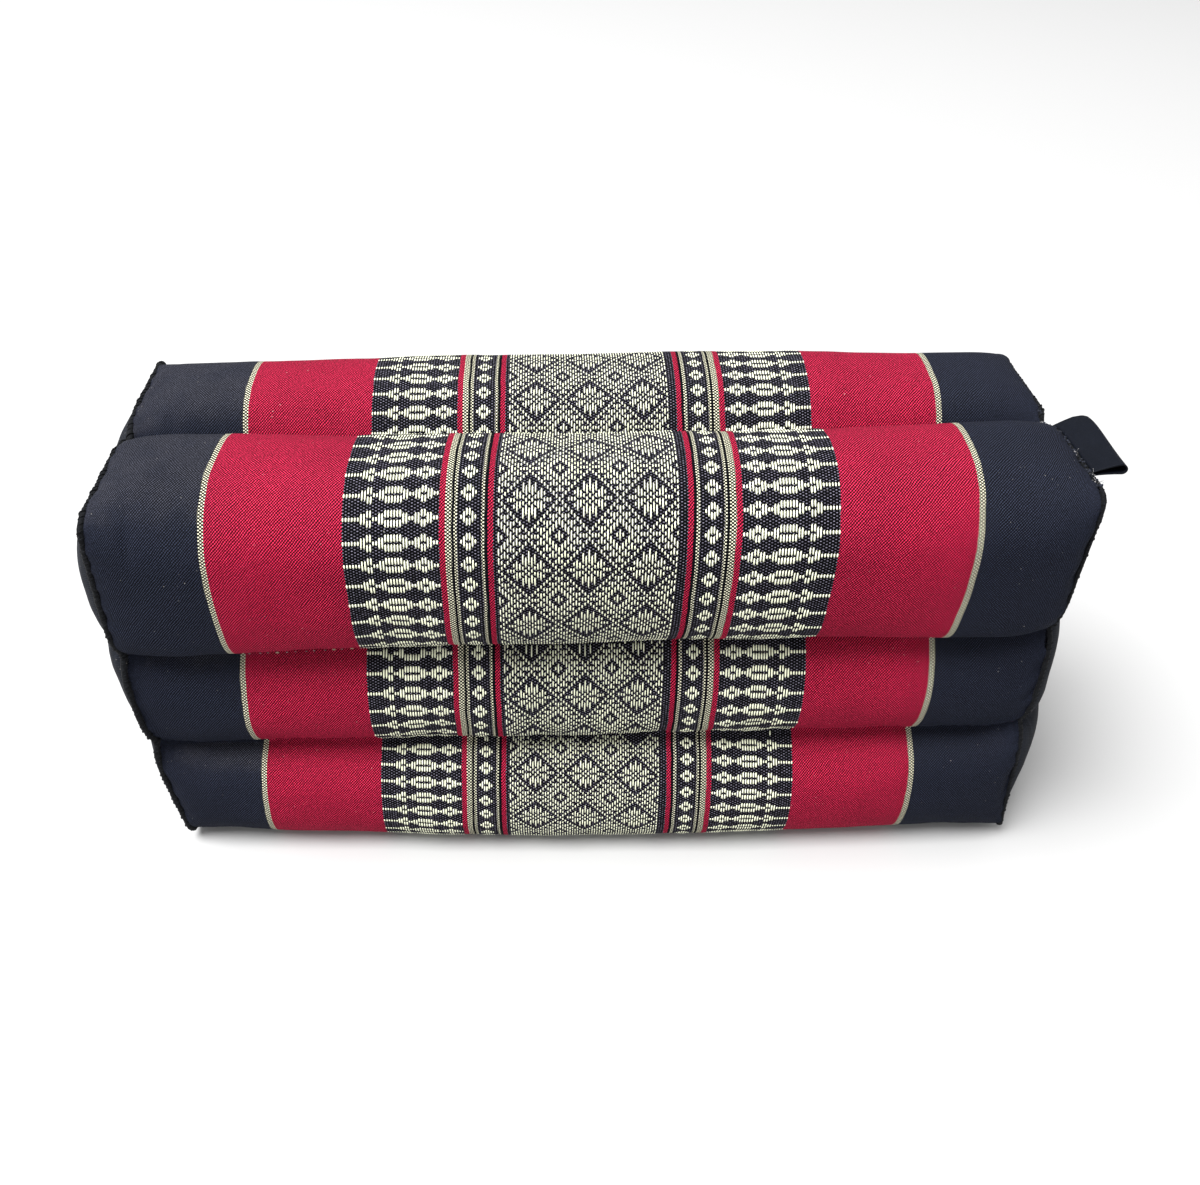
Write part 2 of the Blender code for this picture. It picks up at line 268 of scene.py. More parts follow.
def setMap(mesh, name, corners):
    layer = mesh.uv_layers.new(name=name)
    layer.data.foreach_set("uv", np.ascontiguousarray(corners, dtype=np.float32).ravel())


def cornerVertices(mesh):
    corners = np.empty(len(mesh.loops), dtype=np.int32)
    mesh.loops.foreach_get("vertex_index", corners)
    return corners


def placesOf(mesh):
    places = np.empty(3 * len(mesh.vertices))
    mesh.vertices.foreach_get("co", places)
    return places.reshape(-1, 3)


def setValues(mesh, **named):
    # a value or a direction at each point
    for name, values in named.items():
        values = np.asarray(values, np.float32)
        kind, slot = ("FLOAT_VECTOR", "vector") if values.ndim == 2 else ("FLOAT", "value")
        mesh.attributes.new(name, kind, "POINT").data.foreach_set(slot, values.ravel())


def noiseAt(points, sizes, seed):
    height, scale = sizes
    offset = Vector((seed, 0.37 * seed, -seed))
    values = [noise.noise(Vector(point) * scale + offset) for point in points.reshape(-1, 3)]
    return np.array(values).reshape(points.shape[:-1]) * height


def noiseAlong(x, sizes, lane, seed):
    height, scale = sizes
    return height * np.array([noise.noise(Vector((scale * value, lane, seed))) for value in x[:, 0]])[:, None]


def readOff(values, fresh, old):
    # values that are known at the old places, read off at fresh ones
    flat = values.reshape(len(values), -1)
    found = np.stack([np.interp(fresh, old, column) for column in flat.T], 1)
    return found.reshape(-1, *values.shape[1:])


# Node trees: a Value is one output of a node, so that sums can be written as sums

class Value:
    def __init__(self, tree, socket):
        self.tree, self.socket = tree, socket

    def __getitem__(self, key):
        return Value(self.tree, self.socket.node.outputs[key])

    def math(self, operation, *others):
        return addNode(self.tree, "ShaderNodeMath", dict(enumerate((self, *others))), operation=operation)

    def __add__(self, other):
        return self.math("ADD", other)

    def __sub__(self, other):
        return self.math("SUBTRACT", other)

    def __rsub__(self, other):
        return addNode(self.tree, "ShaderNodeMath", {0: other, 1: self}, operation="SUBTRACT")

    def __mul__(self, other):
        return self.math("MULTIPLY", other)

    def __truediv__(self, other):
        return self.math("DIVIDE", other)

    def __rtruediv__(self, other):
        return addNode(self.tree, "ShaderNodeMath", {0: other, 1: self}, operation="DIVIDE")

    def split(self):
        return addNode(self.tree, "ShaderNodeSeparateXYZ", {0: self})

    def wave(self, pitch, operation="SINE"):
        return (self * (2 * math.pi / pitch)).math(operation)

    def ramp(self, low, high, toLow=0.0, toHigh=1.0):
        values = dict(enumerate((self, low, high, toLow, toHigh)))
        return addNode(self.tree, "ShaderNodeMapRange", values, interpolation_type="SMOOTHSTEP")

    def scaled(self, factor):
        return addNode(self.tree, "ShaderNodeVectorMath", {0: self, "Scale": factor}, operation="SCALE")

    def noise(self, scale, detail):
        inputs = {"Vector": self, "Scale": scale, "Detail": detail}
        return addNode(self.tree, "ShaderNodeTexNoise", inputs)["Fac"]

    def effect(self, group, **values):
        # a shared effect at this place
        return addNode(self.tree, "ShaderNodeGroup", {"Place": self, **values}, node_tree=group)


def feed(socket, value):
    if isinstance(value, Value):
        value.tree.links.new(value.socket, socket)
    elif socket.type == "RGBA" and len(value) == 3:
        socket.default_value = (*value, 1)
    else:
        socket.default_value = value


def addNode(tree, kind, inputs=None, **settings):
    made = tree.nodes.new(kind)
    for name, value in settings.items():
        setattr(made, name, value)
    for key, value in (inputs or {}).items():
        feed(made.inputs[key], value)
    return Value(tree, made.outputs[0])


def newTree(name, kind, inputs, outputs):
    # a node tree with named inputs, each with its kind or its own number
    tree = bpy.data.node_groups.new(name, kind)
    for way, labels in (("INPUT", inputs), ("OUTPUT", outputs)):
        for label, wanted in labels.items():
            number = isinstance(wanted, float)
            socketKind = "NodeSocket" + ("Float" if number else wanted)
            socket = tree.interface.new_socket(label, in_out=way, socket_type=socketKind)
            if number:
                socket.default_value = wanted
    given = Value(tree, tree.nodes.new("NodeGroupInput").outputs[0])
    return tree, given, tree.nodes.new("NodeGroupOutput").inputs


def blend(share, first, second):
    return addNode(share.tree, "ShaderNodeMix", {0: share, 6: first, 7: second}, data_type="RGBA")[2]


def newMaterial(name, finish):
    # a material, its shader's inputs, and the place on the object
    material = bpy.data.materials.new(name)
    material.use_nodes = True
    shader = material.node_tree.nodes["Principled BSDF"].inputs
    feed(shader["Roughness"], float(np.mean(finish["roughness"])))  # linked later where it varies
    feed(shader["Specular IOR Level"], finish["specular"])
    feed(shader["Sheen Weight"], finish.get("sheen", 0.0))
    return material, shader, addNode(material.node_tree, "ShaderNodeTexCoord")["Object"]


def addBump(shader, height, distance, strength=0.6):
    values = {"Height": height, "Distance": distance, "Strength": strength}
    feed(shader["Normal"], addNode(height.tree, "ShaderNodeBump", values))


# Effects that several cloths share. A noise has its scale and detail. A share has the noise at which it
# starts and the one at which it is full, and how much there is at both.
effects = {
    "waverAcross": (330.0, 1.0), "waverAlong": (210.0, 1.0),
    "waver": (5.0, 4.0),  # of the threads, in radians of their wave
    "glintFrom": (0.50, 0.74),  # heights at which a thread starts to shine, and shines fully
    "glintNoise": (1500.0, 1.0), "glintShare": (0.3, 0.7, 0.5, 1.1),
    "wideTone": (28.0, 3.0), "fineTone": (420.0, 2.0),
    "speckNoise": (0.45, 1.0), "speckFrom": (0.74, 0.82),
    "patchNoise": (60.0, 1.0), "patchFrom": (0.45, 0.6),
    # the haze on what faces up is partly dust, partly painted sheen
    "dustNoise": (90.0, 4.0), "dustFacing": (0.1, 1.0), "dustShare": (0.3, 0.75, 0.75, 1.0),
}


def makeTwillWeave():
    # threads that cross at a slant both ways, one way stronger: a height, and the glint of the threads on
    # top, a mask for their painted highlight
    inputs = {"Place": "Vector", "Across": 0.00104, "Along": 0.00122, "Lean": 0.62}
    tree, given, out = newTree("twillWeave", "ShaderNodeTree", inputs, {"Height": "Float", "Glint": "Float"})
    place, lean = given["Place"], given["Lean"]
    split = place.split()
    across, along = [
        place.noise(*effects["waver" + way]) * swing + split[axis] / given[way] * (2 * math.pi)
        for axis, (way, swing) in enumerate(zip(("Across", "Along"), effects["waver"]))
    ]
    slants = (across + along).math("SINE") * lean + (across - along).math("SINE") * (1.0 - lean)
    height = slants * 0.5 + 0.5
    feed(out["Height"], height)
    uneven = place.noise(*effects["glintNoise"]).ramp(*effects["glintShare"])
    feed(out["Glint"], height.ramp(*effects["glintFrom"]) * uneven)
    return tree


def makeUnevenDye():
    # soft changes of tone over a few centimetres, and finer ones from thread to thread
    inputs = {"Place": "Vector", "Amount": 0.1}
    tree, given, out = newTree("unevenDye", "ShaderNodeTree", inputs, {"Tone": "Float"})
    wide, fine = [given["Place"].noise(*effects[name]) for name in ("wideTone", "fineTone")]
    feed(out["Tone"], (wide * 1.2 + fine * 0.8 - 1.0) * given["Amount"] + 1.0)
    return tree


def makeLint():
    # sparse pale specks of kapok fluff and broken thread ends
    inputs = {"Place": "Vector", "Size": 0.0006}
    tree, given, out = newTree("lintSpecks", "ShaderNodeTree", inputs, {"Mask": "Float"})
    specks = given["Place"].scaled(1.0 / given["Size"]).noise(*effects["speckNoise"])
    patches = given["Place"].noise(*effects["patchNoise"])
    feed(out["Mask"], specks.ramp(*effects["speckFrom"]) * patches.ramp(*effects["patchFrom"]))
    return tree


def makeDustAndSheen():
    # dust and painted sheen: a thin pale haze on what faces up, partly dust and partly a painted sheen where
    # the light from above falls
    tree, given, out = newTree("topDustAndSheen", "ShaderNodeTree", {"Place": "Vector"}, {"Mask": "Float"})
    facing = addNode(tree, "ShaderNodeNewGeometry")["Normal"].split()
    patchy = given["Place"].noise(*effects["dustNoise"]).ramp(*effects["dustShare"])
    feed(out["Mask"], facing[2].ramp(*effects["dustFacing"]) * patchy)
    return tree


twillWeave, unevenDye, lintSpecks, topDustAndSheen = makeTwillWeave(), makeUnevenDye(), makeLint(), makeDustAndSheen()
lintColour = (0.42, 0.40, 0.36)


def dyed(colour, place, finish):
    return colour.scaled(place.effect(unevenDye, Amount=finish["uneven"]))


def linty(colour, place, finish):
    specks = place.effect(lintSpecks, Size=finish.get("lintSize", 0.0006))
    return blend(specks * finish["lint"], colour, lintColour)


clothColours = {
    # In the twill, red and navy are the painted shade between the threads, and their glints are painted
    # highlights on the thread tops.
    "navy": (0.0019, 0.0021, 0.0034),
    "red": (0.020, 0.0003, 0.0015),
    "cream": (0.74, 0.72, 0.54),
    "navyGlint": (0.028, 0.034, 0.059),
    # a paler navy glint for the tops at the left end: partly wear, partly painted highlight
    "navyWorn": (0.060, 0.063, 0.086),
    "redGlint": (0.71, 0.025, 0.090),
    "creamShade": (0.006, 0.006, 0.005),
    "spot": (0.20, 0.19, 0.25),
    "ground": (0.0010, 0.0010, 0.0014),
    # colour of the haze on what faces up: partly dust, partly painted sheen
    "dust": (0.30, 0.27, 0.25),
}
clothFinish = {
    "specular": 0.05,
    "roughness": (0.88, 0.72),  # between the threads and on their glint
    "uneven": 0.35,
    "dust": 0.007,
    "lint": 0.55,
    "bump": 0.00012,
    "wornFrom": (0.45, 0.95),  # haze at which the navy starts to pale, and is palest
    "wornAlong": (0.02, -0.12),
    "checkEdge": (0.42, 0.16),
    "spotEdge": (0.45, 0.75),
    "spotNoise": (700.0, 1.0),
    "spotShare": (0.35, 0.6, 0.3, 1.0),  # weakest to strongest spots
}
stripes = {
    "middle": -0.0023,  # where the pattern is centred along the cushion
    "waver": 0.00035,  # how much a stripe's edge wanders
    "waverNoise": (90.0, 2.0),
    "sweep": 0.0011,  # how much further right the outer stripes lie, at "sweepReach" from the middle
    "sweepReach": 0.13,
    "bands": [  # outer edge from the centre, colour, weave
        (0.0326, "navy", "spotted"),
        (0.0344, "red", "twill"),
        (0.0354, "navy", "plain"),
        (0.0365, "cream", "check"),
        (0.0447, "navy", "spotted"),
        (0.0457, "cream", "check"),
        (0.0465, "navy", "plain"),
        (0.0487, "cream", "check"),
        (0.0507, "red", "twill"),
        (0.0835, "navy", "spotted"),
        (0.1301, "red", "twill"),
        (0.1322, "cream", "check"),
        (0.2500, "navy", "twill"),
    ],
    "weaves": {"twill": (1, 0, 0), "check": (0, 1, 0), "spotted": (0, 0, 1), "plain": (0, 0, 0)},
    "checkAcross": 0.00070,
    "checkAlong": 0.00061,
    "spotAcross": 0.00203,
    "spotAlong": 0.00118,
}


def makeCoverCloth():
    material, shader, place = newMaterial("coverCloth", clothFinish)
    tree = place.tree
    place = addNode(tree, "ShaderNodeUVMap", uv_map="weave")
    u, v, _ = place.split()
    wander = (place.noise(*stripes["waverNoise"]) - 0.5) * (2 * stripes["waver"])
    away = (wander + u - stripes["middle"]).math("ABSOLUTE")

    # the navy is paler on top of its left end: partly wear, partly a painted highlight where the light falls
    # from above and from the left
    haze = place.effect(topDustAndSheen)
    worn = haze.ramp(*clothFinish["wornFrom"]) * u.ramp(*clothFinish["wornAlong"])
    glints = {"red": clothColours["redGlint"]}
    glints["navy"] = blend(worn, clothColours["navyGlint"], clothColours["navyWorn"])
    edge, name, weave = stripes["bands"][0]
    colour, kind, glintColour = clothColours[name], stripes["weaves"][weave], glints[name]
    for nextEdge, name, weave in stripes["bands"][1:]:
        past = away.math("GREATER_THAN", edge)
        colour = blend(past, colour, clothColours[name])
        kind = blend(past, kind, stripes["weaves"][weave])
        if weave == "twill":
            glintColour = blend(past, glintColour, glints[name])
        edge = nextEdge
    isTwill, isCheck, isSpotted = addNode(tree, "ShaderNodeSeparateColor", {0: kind})

    twill = place.effect(twillWeave)
    glint = twill["Glint"] * isTwill
    # painted highlight on the thread tops, over the darker painted shade between them
    colour = blend(glint, colour, glintColour)
    check = u.wave(2 * stripes["checkAcross"]) * v.wave(2 * stripes["checkAlong"])
    colour = blend(check.ramp(*clothFinish["checkEdge"]) * isCheck, colour, clothColours["creamShade"])

    # grey dots of the ground weft, set in a brick pattern
    spots = (u - stripes["middle"]).wave(stripes["spotAcross"], "COSINE")
    spots = spots * v.wave(stripes["spotAlong"], "COSINE")
    uneven = place.noise(*clothFinish["spotNoise"]).ramp(*clothFinish["spotShare"])
    spots = spots.ramp(*clothFinish["spotEdge"]) * isSpotted * uneven
    colour = blend(isSpotted, colour, clothColours["ground"])
    colour = dyed(blend(spots, colour, clothColours["spot"]), place, clothFinish)
    # a pale haze on the twill that faces up: partly dust, partly painted sheen
    colour = blend(haze * clothFinish["dust"] * isTwill, colour, clothColours["dust"])
    feed(shader["Base Color"], linty(colour, place, clothFinish))
    feed(shader["Roughness"], glint.ramp(0.0, 1.0, *clothFinish["roughness"]))
    height = twill["Height"] * isTwill + check.ramp(-1.0, 1.0) * isCheck + spots
    addBump(shader, height, clothFinish["bump"])
    return material


floatFinish = {
    "top": (0.93, 0.95, 0.72),
    "side": (0.10, 0.125, 0.03),  # painted shade: darker and greener down the flanks, where the thread dips
    "sideFrom": (0.5, 0.95),
    "roughness": (0.55, 0.75), "specular": 0.2, "sheen": 0.05,
    "uneven": 0.15,
    "tones": (0.84, 1.04),  # from float to float
}


def makeFloatThread():
    # pale weft floats, with painted shade down their flanks
    material, shader, place = newMaterial("floatThread", floatFinish)
    tree = place.tree
    side = addNode(tree, "ShaderNodeAttribute", attribute_name="side")["Fac"]
    shade = addNode(tree, "ShaderNodeAttribute", attribute_name="shade")["Fac"]
    colour = blend(side.ramp(*floatFinish["sideFrom"]), floatFinish["top"], floatFinish["side"])
    low, high = floatFinish["tones"]
    tone = (shade * (high - low) + low) * place.effect(unevenDye, Amount=floatFinish["uneven"])
    feed(shader["Base Color"], colour.scaled(tone))
    feed(shader["Roughness"], side.ramp(0.0, 1.0, *floatFinish["roughness"]))
    return material


panelFinish = {
    "low": (0.0042, 0.0050, 0.0078),
    "glint": (0.021, 0.025, 0.035),
    "streak": (0.021, 0.024, 0.032),
    "roughness": 0.9, "specular": 0.08, "sheen": 0.02,
    "glintShare": 0.6,
    "weavePitch": 0.0009,
    "streaks": (1, 900, 25),  # scale along each axis
    "streakNoise": (1.0, 2.0), "streakShare": (0.5, 0.75, 0.0, 0.5),
    "uneven": 0.4,
    "lint": 0.5,
    "bump": 0.0001,
}


def makeEndCloth():
    # plain dark cloth of the end panels, its threads running up and down
    material, shader, place = newMaterial("endCloth", panelFinish)
    tree, pitch = place.tree, panelFinish["weavePitch"]
    _, y, z = place.split()
    flat = addNode(tree, "ShaderNodeCombineXYZ", {0: y, 1: z})
    twill = flat.effect(twillWeave, Across=pitch, Along=pitch)
    # painted highlight: the twill's glint lightens the thread tops
    colour = blend(twill["Glint"] * panelFinish["glintShare"], panelFinish["low"], panelFinish["glint"])
    streaks = addNode(tree, "ShaderNodeMapping", {"Scale": panelFinish["streaks"], "Vector": place})
    lines = streaks.noise(*panelFinish["streakNoise"])
    colour = blend(lines.ramp(*panelFinish["streakShare"]), colour, panelFinish["streak"])
    feed(shader["Base Color"], linty(dyed(colour, place, panelFinish), place, panelFinish))
    addBump(shader, twill["Height"] + lines, panelFinish["bump"])
    return material


threadFinish = {
    "specular": 0.12, "sheen": 0.02,
    "fuzz": (1800.0, 3.0), "fuzzFrom": (0.35, 0.75),
    "uneven": 0.8,
    "lint": 0.3, "lintSize": 0.0005,
    "bump": (0.00015, 0.7),
    "threads": {  # roughness, darkest and palest colour
        "rollThread": (0.8, (0.0016, 0.0018, 0.0024), (0.0075, 0.0085, 0.011)),
        "paleThread": (0.7, (0.30, 0.26, 0.17), (0.55, 0.50, 0.36)),
        "greyThread": (0.8, (0.07, 0.07, 0.08), (0.34, 0.33, 0.33)),
        "wornThread": (0.85, (0.006, 0.007, 0.011), (0.034, 0.038, 0.055)),
    },
}


def makeThread(name, roughness, low, high):
    # sewing thread with a little fuzz
    material, shader, place = newMaterial(name, {**threadFinish, "roughness": roughness})
    fuzz = place.noise(*threadFinish["fuzz"])
    colour = dyed(blend(fuzz.ramp(*threadFinish["fuzzFrom"]), low, high), place, threadFinish)
    feed(shader["Base Color"], linty(colour, place, threadFinish))
    addBump(shader, fuzz, *threadFinish["bump"])
    return material


ribbonFinish = {
    "low": (0.0018, 0.0024, 0.0046),
    "high": (0.0050, 0.0066, 0.0115),
    "fuzz": (0.014, 0.017, 0.025),
    "ribPitch": 0.00045, "ribFrom": (0.2, 1.0),
    "fuzzNoise": (1400.0, 2.0), "fuzzShare": (0.55, 0.8, 0.0, 0.4),
    "roughness": (0.55, 0.7), "roughFrom": (0.3, 0.8), "specular": 0.07,
    "uneven": 0.5,
    "bump": 0.00006,
}


def makeRibbon():
    # black satin ribbon: fine ribs across it and a soft shine
    material, shader, place = newMaterial("ribbonSatin", ribbonFinish)
    ribs = place.split()[1].wave(ribbonFinish["ribPitch"]) * 0.5 + 0.5
    fuzz = place.noise(*ribbonFinish["fuzzNoise"])
    colour = blend(ribs.ramp(*ribbonFinish["ribFrom"]), ribbonFinish["low"], ribbonFinish["high"])
    colour = blend(fuzz.ramp(*ribbonFinish["fuzzShare"]), colour, ribbonFinish["fuzz"])
    feed(shader["Base Color"], dyed(colour, place, ribbonFinish))
    feed(shader["Roughness"], fuzz.ramp(*ribbonFinish["roughFrom"], *ribbonFinish["roughness"]))
    addBump(shader, ribs, ribbonFinish["bump"])
    return material


coverCloth, floatThread, endCloth, ribbon = makeCoverCloth(), makeFloatThread(), makeEndCloth(), makeRibbon()
thread = {name: makeThread(name, *values) for name, values in threadFinish["threads"].items()}
print("finishes made")

swell = {  # the filling presses the cloth out between its pinned seams
    "tubeRows": 14,
    "endRows": 8,
    "middleRows": 42,
    "pressure": 4.0,
    "stiffness": 15.0,
    "bending": 0.5,
    "slack": 0.006,  # share by which the cloth is cut too large
    "frames": 20,
    "cap": 0.003,  # furthest that a point may move
    "slimmer": 0.0012,  # how much lower the crests start
    "smoothing": 6,
}
relief = {  # unevenness of the filled cloth, its noises by height and scale
    "lumps": (0.0009, 21.0),
    "ripples": (0.00028, 80.0),
    "pucker": 0.0005, "puckerPitch": 0.0078, "puckerReach": (0.0012, 0.006), "puckerSway": (7, 40),
    "endPucker": 0.0008, "endPitch": 0.0105, "endReach": (0.003, 0.010), "endSway": (5, 55.0),
    "waver": (0.0009, 26.0), "waverRows": 10,  # of the seams
    "still": 0.002, "stillWaver": 0.01,  # both fade towards the end seams
    # tube, place along, share across, reach across and along, depth
    "dents": [(0, -0.159, 0.52, 0.0060, 0.0020, 0.0015)],
}


def pressedOut(places, fractions):
    # runs the cloth on a coarse mesh and carries its swelling over to the fine one
    rough = stations(swell["endRows"], swell["middleRows"])
    grid = coverGrid(rough, tubeFractions(swell["tubeRows"]), swell["slimmer"])
    along, around = grid.shape[:2]
    trial = meshObject("clothTrial", grid, ringFaces(along, around))
    marks = np.arange(along * around).reshape(along, around)
    pinned = np.concatenate([marks[0], marks[-1], marks[:, ::swell["tubeRows"]].ravel()])
    trial.vertex_groups.new(name="pins").add(np.unique(pinned).tolist(), 1.0, "ADD")
    cloth = trial.modifiers.new("filling", "CLOTH")
    settings = cloth.settings
    settings.tension_stiffness = settings.compression_stiffness = swell["stiffness"]
    settings.shear_stiffness = 0.5 * swell["stiffness"]
    settings.bending_stiffness = swell["bending"]
    settings.use_pressure = True
    settings.uniform_pressure_force = swell["pressure"]
    settings.vertex_group_mass = "pins"
    settings.shrink_min = -swell["slack"]
    settings.effector_weights.gravity = 0
    cloth.collision_settings.use_collision = False
    cloth.point_cache.frame_start, cloth.point_cache.frame_end = 1, swell["frames"]
    for step in range(1, swell["frames"] + 1):
        bpy.context.scene.frame_set(step)
    settled = trial.evaluated_get(bpy.context.evaluated_depsgraph_get()).to_mesh()
    moved = placesOf(settled).reshape(grid.shape) - grid
    bpy.data.objects.remove(trial)
    bpy.context.scene.frame_set(1)
    far = np.linalg.norm(moved, axis=-1, keepdims=True)
    moved *= np.minimum(1.0, swell["cap"] / np.maximum(far, 1e-9))

    moved = readOff(moved, clothPlaces(places), clothPlaces(rough))
    wrapped = np.concatenate([moved, moved[:, :1]], 1).swapaxes(0, 1)
    fineAround = np.arange(6 * len(fractions)) / len(fractions)
    moved = readOff(wrapped, fineAround, np.arange(around + 1) / swell["tubeRows"]).swapaxes(0, 1)
    for _ in range(swell["smoothing"]):
        moved = 0.5 * moved + 0.25 * (np.roll(moved, 1, 1) + np.roll(moved, -1, 1))
        moved[1:-1] = 0.5 * moved[1:-1] + 0.25 * (moved[:-2] + moved[2:])
    moved[:, ::len(fractions)] = 0
    moved[0] = moved[-1] = 0
    return moved


def gridNormals(grid):
    # outward normals of the cover, and the direction along the cloth around it
    around = np.roll(grid, -1, 1) - np.roll(grid, 1, 1)
    normals = unit(np.cross(around, np.gradient(grid, axis=0)))
    if ((grid - grid.mean(1, keepdims=True)) * normals).sum() < 0:
        normals = -normals
    return normals, unit(around)


def ringArcs(ring):
    # length of cloth around a ring, up to each of its points and all the way
    steps = np.linalg.norm(np.diff(ring, axis=0, append=ring[:1]), axis=1)
    return np.concatenate([[0], np.cumsum(steps)])


def clothPlaces(places):
    return np.array([place[3] for place in places])


def beside(distance, reach):
    # nothing right at a seam, most a little way off it, and less further out
    return np.exp(-distance / reach[1]) * (1 - np.exp(-distance / reach[0]))


def unevenCloth(grid, places, fractions):
    rows = len(fractions)
    normals, around = gridNormals(grid)
    full = sectionRing(0.0, 0.0, ends["left"], fractions)[:, 4]
    lift = (noiseAt(grid, relief["lumps"], 3.1) + noiseAt(grid, relief["ripples"], 7.7)) * full
    shift = np.zeros(lift.shape)
    x = clothPlaces(places)[:, None]
    reach = np.abs(x[-1, 0]) - np.abs(x)  # distance from the end seams

    ringLength = ringArcs(grid[len(grid) // 2])
    arcs = ringLength[:-1]
    for index in range(6):
        columns = slice(index * rows, (index + 1) * rows)
        fromFirst = arcs[columns] - arcs[index * rows]
        fromLast = ringLength[(index + 1) * rows] - arcs[columns]
        toSeam = np.minimum(fromFirst, fromLast)
        for isFirst in (True, False):
            sway = noiseAlong(x, relief["puckerSway"], 5.3 * ((index if isFirst else index + 1) % 6), 1)
            near = beside(toSeam, relief["puckerReach"]) * ((fromFirst < fromLast) == isFirst)
            wave = np.sin(2 * math.pi * x / relief["puckerPitch"] + sway)
            lift[:, columns] += near * relief["pucker"] * wave
    for tube, place, share, reachAcross, reachAlong, depth in relief["dents"]:
        middle = arcs[tube * rows] + share * (ringLength[(tube + 1) * rows] - arcs[tube * rows])
        lift -= depth * np.exp(-((arcs - middle) / reachAcross) ** 2 - ((x - place) / reachAlong) ** 2)
    wave = np.sin(2 * math.pi * arcs / relief["endPitch"] + noiseAt(grid, relief["endSway"], 1.3))
    lift += relief["endPucker"] * beside(reach, relief["endReach"]) * wave * full

    steps = np.arange(-relief["waverRows"], relief["waverRows"] + 1)
    fade = np.clip(1 - np.abs(steps) / relief["waverRows"], 0, 1)
    for index in range(6):
        shift[:, (index * rows + steps) % (6 * rows)] += noiseAlong(x, relief["waver"], 9.1 * index, 4) * fade
    shift *= np.clip(reach / relief["stillWaver"], 0, 1)
    lift *= np.clip(reach / relief["still"], 0, 1)
    return grid + normals * lift[..., None] + around * shift[..., None]


def pulledBy(pull, x, share):
    # how far the stripes lie to the side, at a share of the way from a tube's first seam to its last
    sweep = stripes["sweep"] * (x / stripes["sweepReach"]) ** 2
    return pull[..., 0] + (pull[..., 1] - pull[..., 0]) * share + sweep


def makeCover():
    rows, margin = cushion["tubeRows"], cushion["bakeMargin"]
    fractions = tubeFractions(rows)
    places = stations(cushion["endRows"], cushion["middleRows"])
    grid = coverGrid(places, fractions, swell["slimmer"]) + pressedOut(places, fractions)
    grid = unevenCloth(grid, places, fractions)
    grid[..., 2] = np.maximum(grid[..., 2], cushion["floorGap"])
    along, around = grid.shape[:2]
    cover = meshObject("cover", grid, ringFaces(along, around), coverCloth)

    # length of cloth from each tube's first seam, measured at the middle of the cushion
    arcs = ringArcs(coverGrid([places[along // 2]], fractions)[0])
    clothX = clothPlaces(places)
    corners = cornerVertices(cover.data)
    i, j = corners // around, corners % around
    faceOf = np.repeat(np.arange(len(cover.data.polygons)), [face.loop_total for face in cover.data.polygons])
    column = faceOf // (along - 1)
    j = np.where((column == around - 1) & (j == 0), around, j)
    tube = np.minimum(column // rows, 5)
    start, stop = arcs[tube * rows], arcs[(tube + 1) * rows]
    pull = np.array([one["pull"] for one in tubes])[tube]
    share = np.clip((arcs[j] - start) / (stop - start), 0, 1)
    setMap(cover.data, "weave", np.stack([clothX[i] - pulledBy(pull, clothX[i], share), arcs[j]], 1))
    spread = np.stack([(clothX[i] - clothX[0]) / np.ptp(clothX), arcs[j] / arcs[-1]], 1)
    setMap(cover.data, "OFBake", margin + (1 - 2 * margin) * spread)
    layers = (grid, *gridNormals(grid))
    return cover, {"layers": layers, "x": clothX, "arcs": arcs, "lengths": np.diff(arcs[::rows])}


def onCloth(tubeIndex, x, fromSeam):
    # points, normals and directions at places on one tube of the finished cover
    rows, count = cushion["tubeRows"], len(cloth["arcs"]) - 1
    arcs = cloth["arcs"][tubeIndex * rows:(tubeIndex + 1) * rows + 1]
    across = tubeIndex * rows + np.interp(fromSeam, arcs - arcs[0], np.arange(rows + 1))
    along = np.interp(x, cloth["x"], np.arange(len(cloth["x"])))
    i, j = np.minimum(along.astype(int), len(cloth["x"]) - 2), across.astype(int)
    shareI, shareJ = (along - i)[:, None], (across - j)[:, None]
    found = []
    for values in cloth["layers"]:
        low, high = [
            values[i, column % count] * (1 - shareI) + values[i + 1, column % count] * shareI
            for column in (j, j + 1)
        ]
        found.append(low * (1 - shareJ) + high * shareJ)
    return found


cover, cloth = makeCover()
dress(cover, "filled_body")
print("cover made")

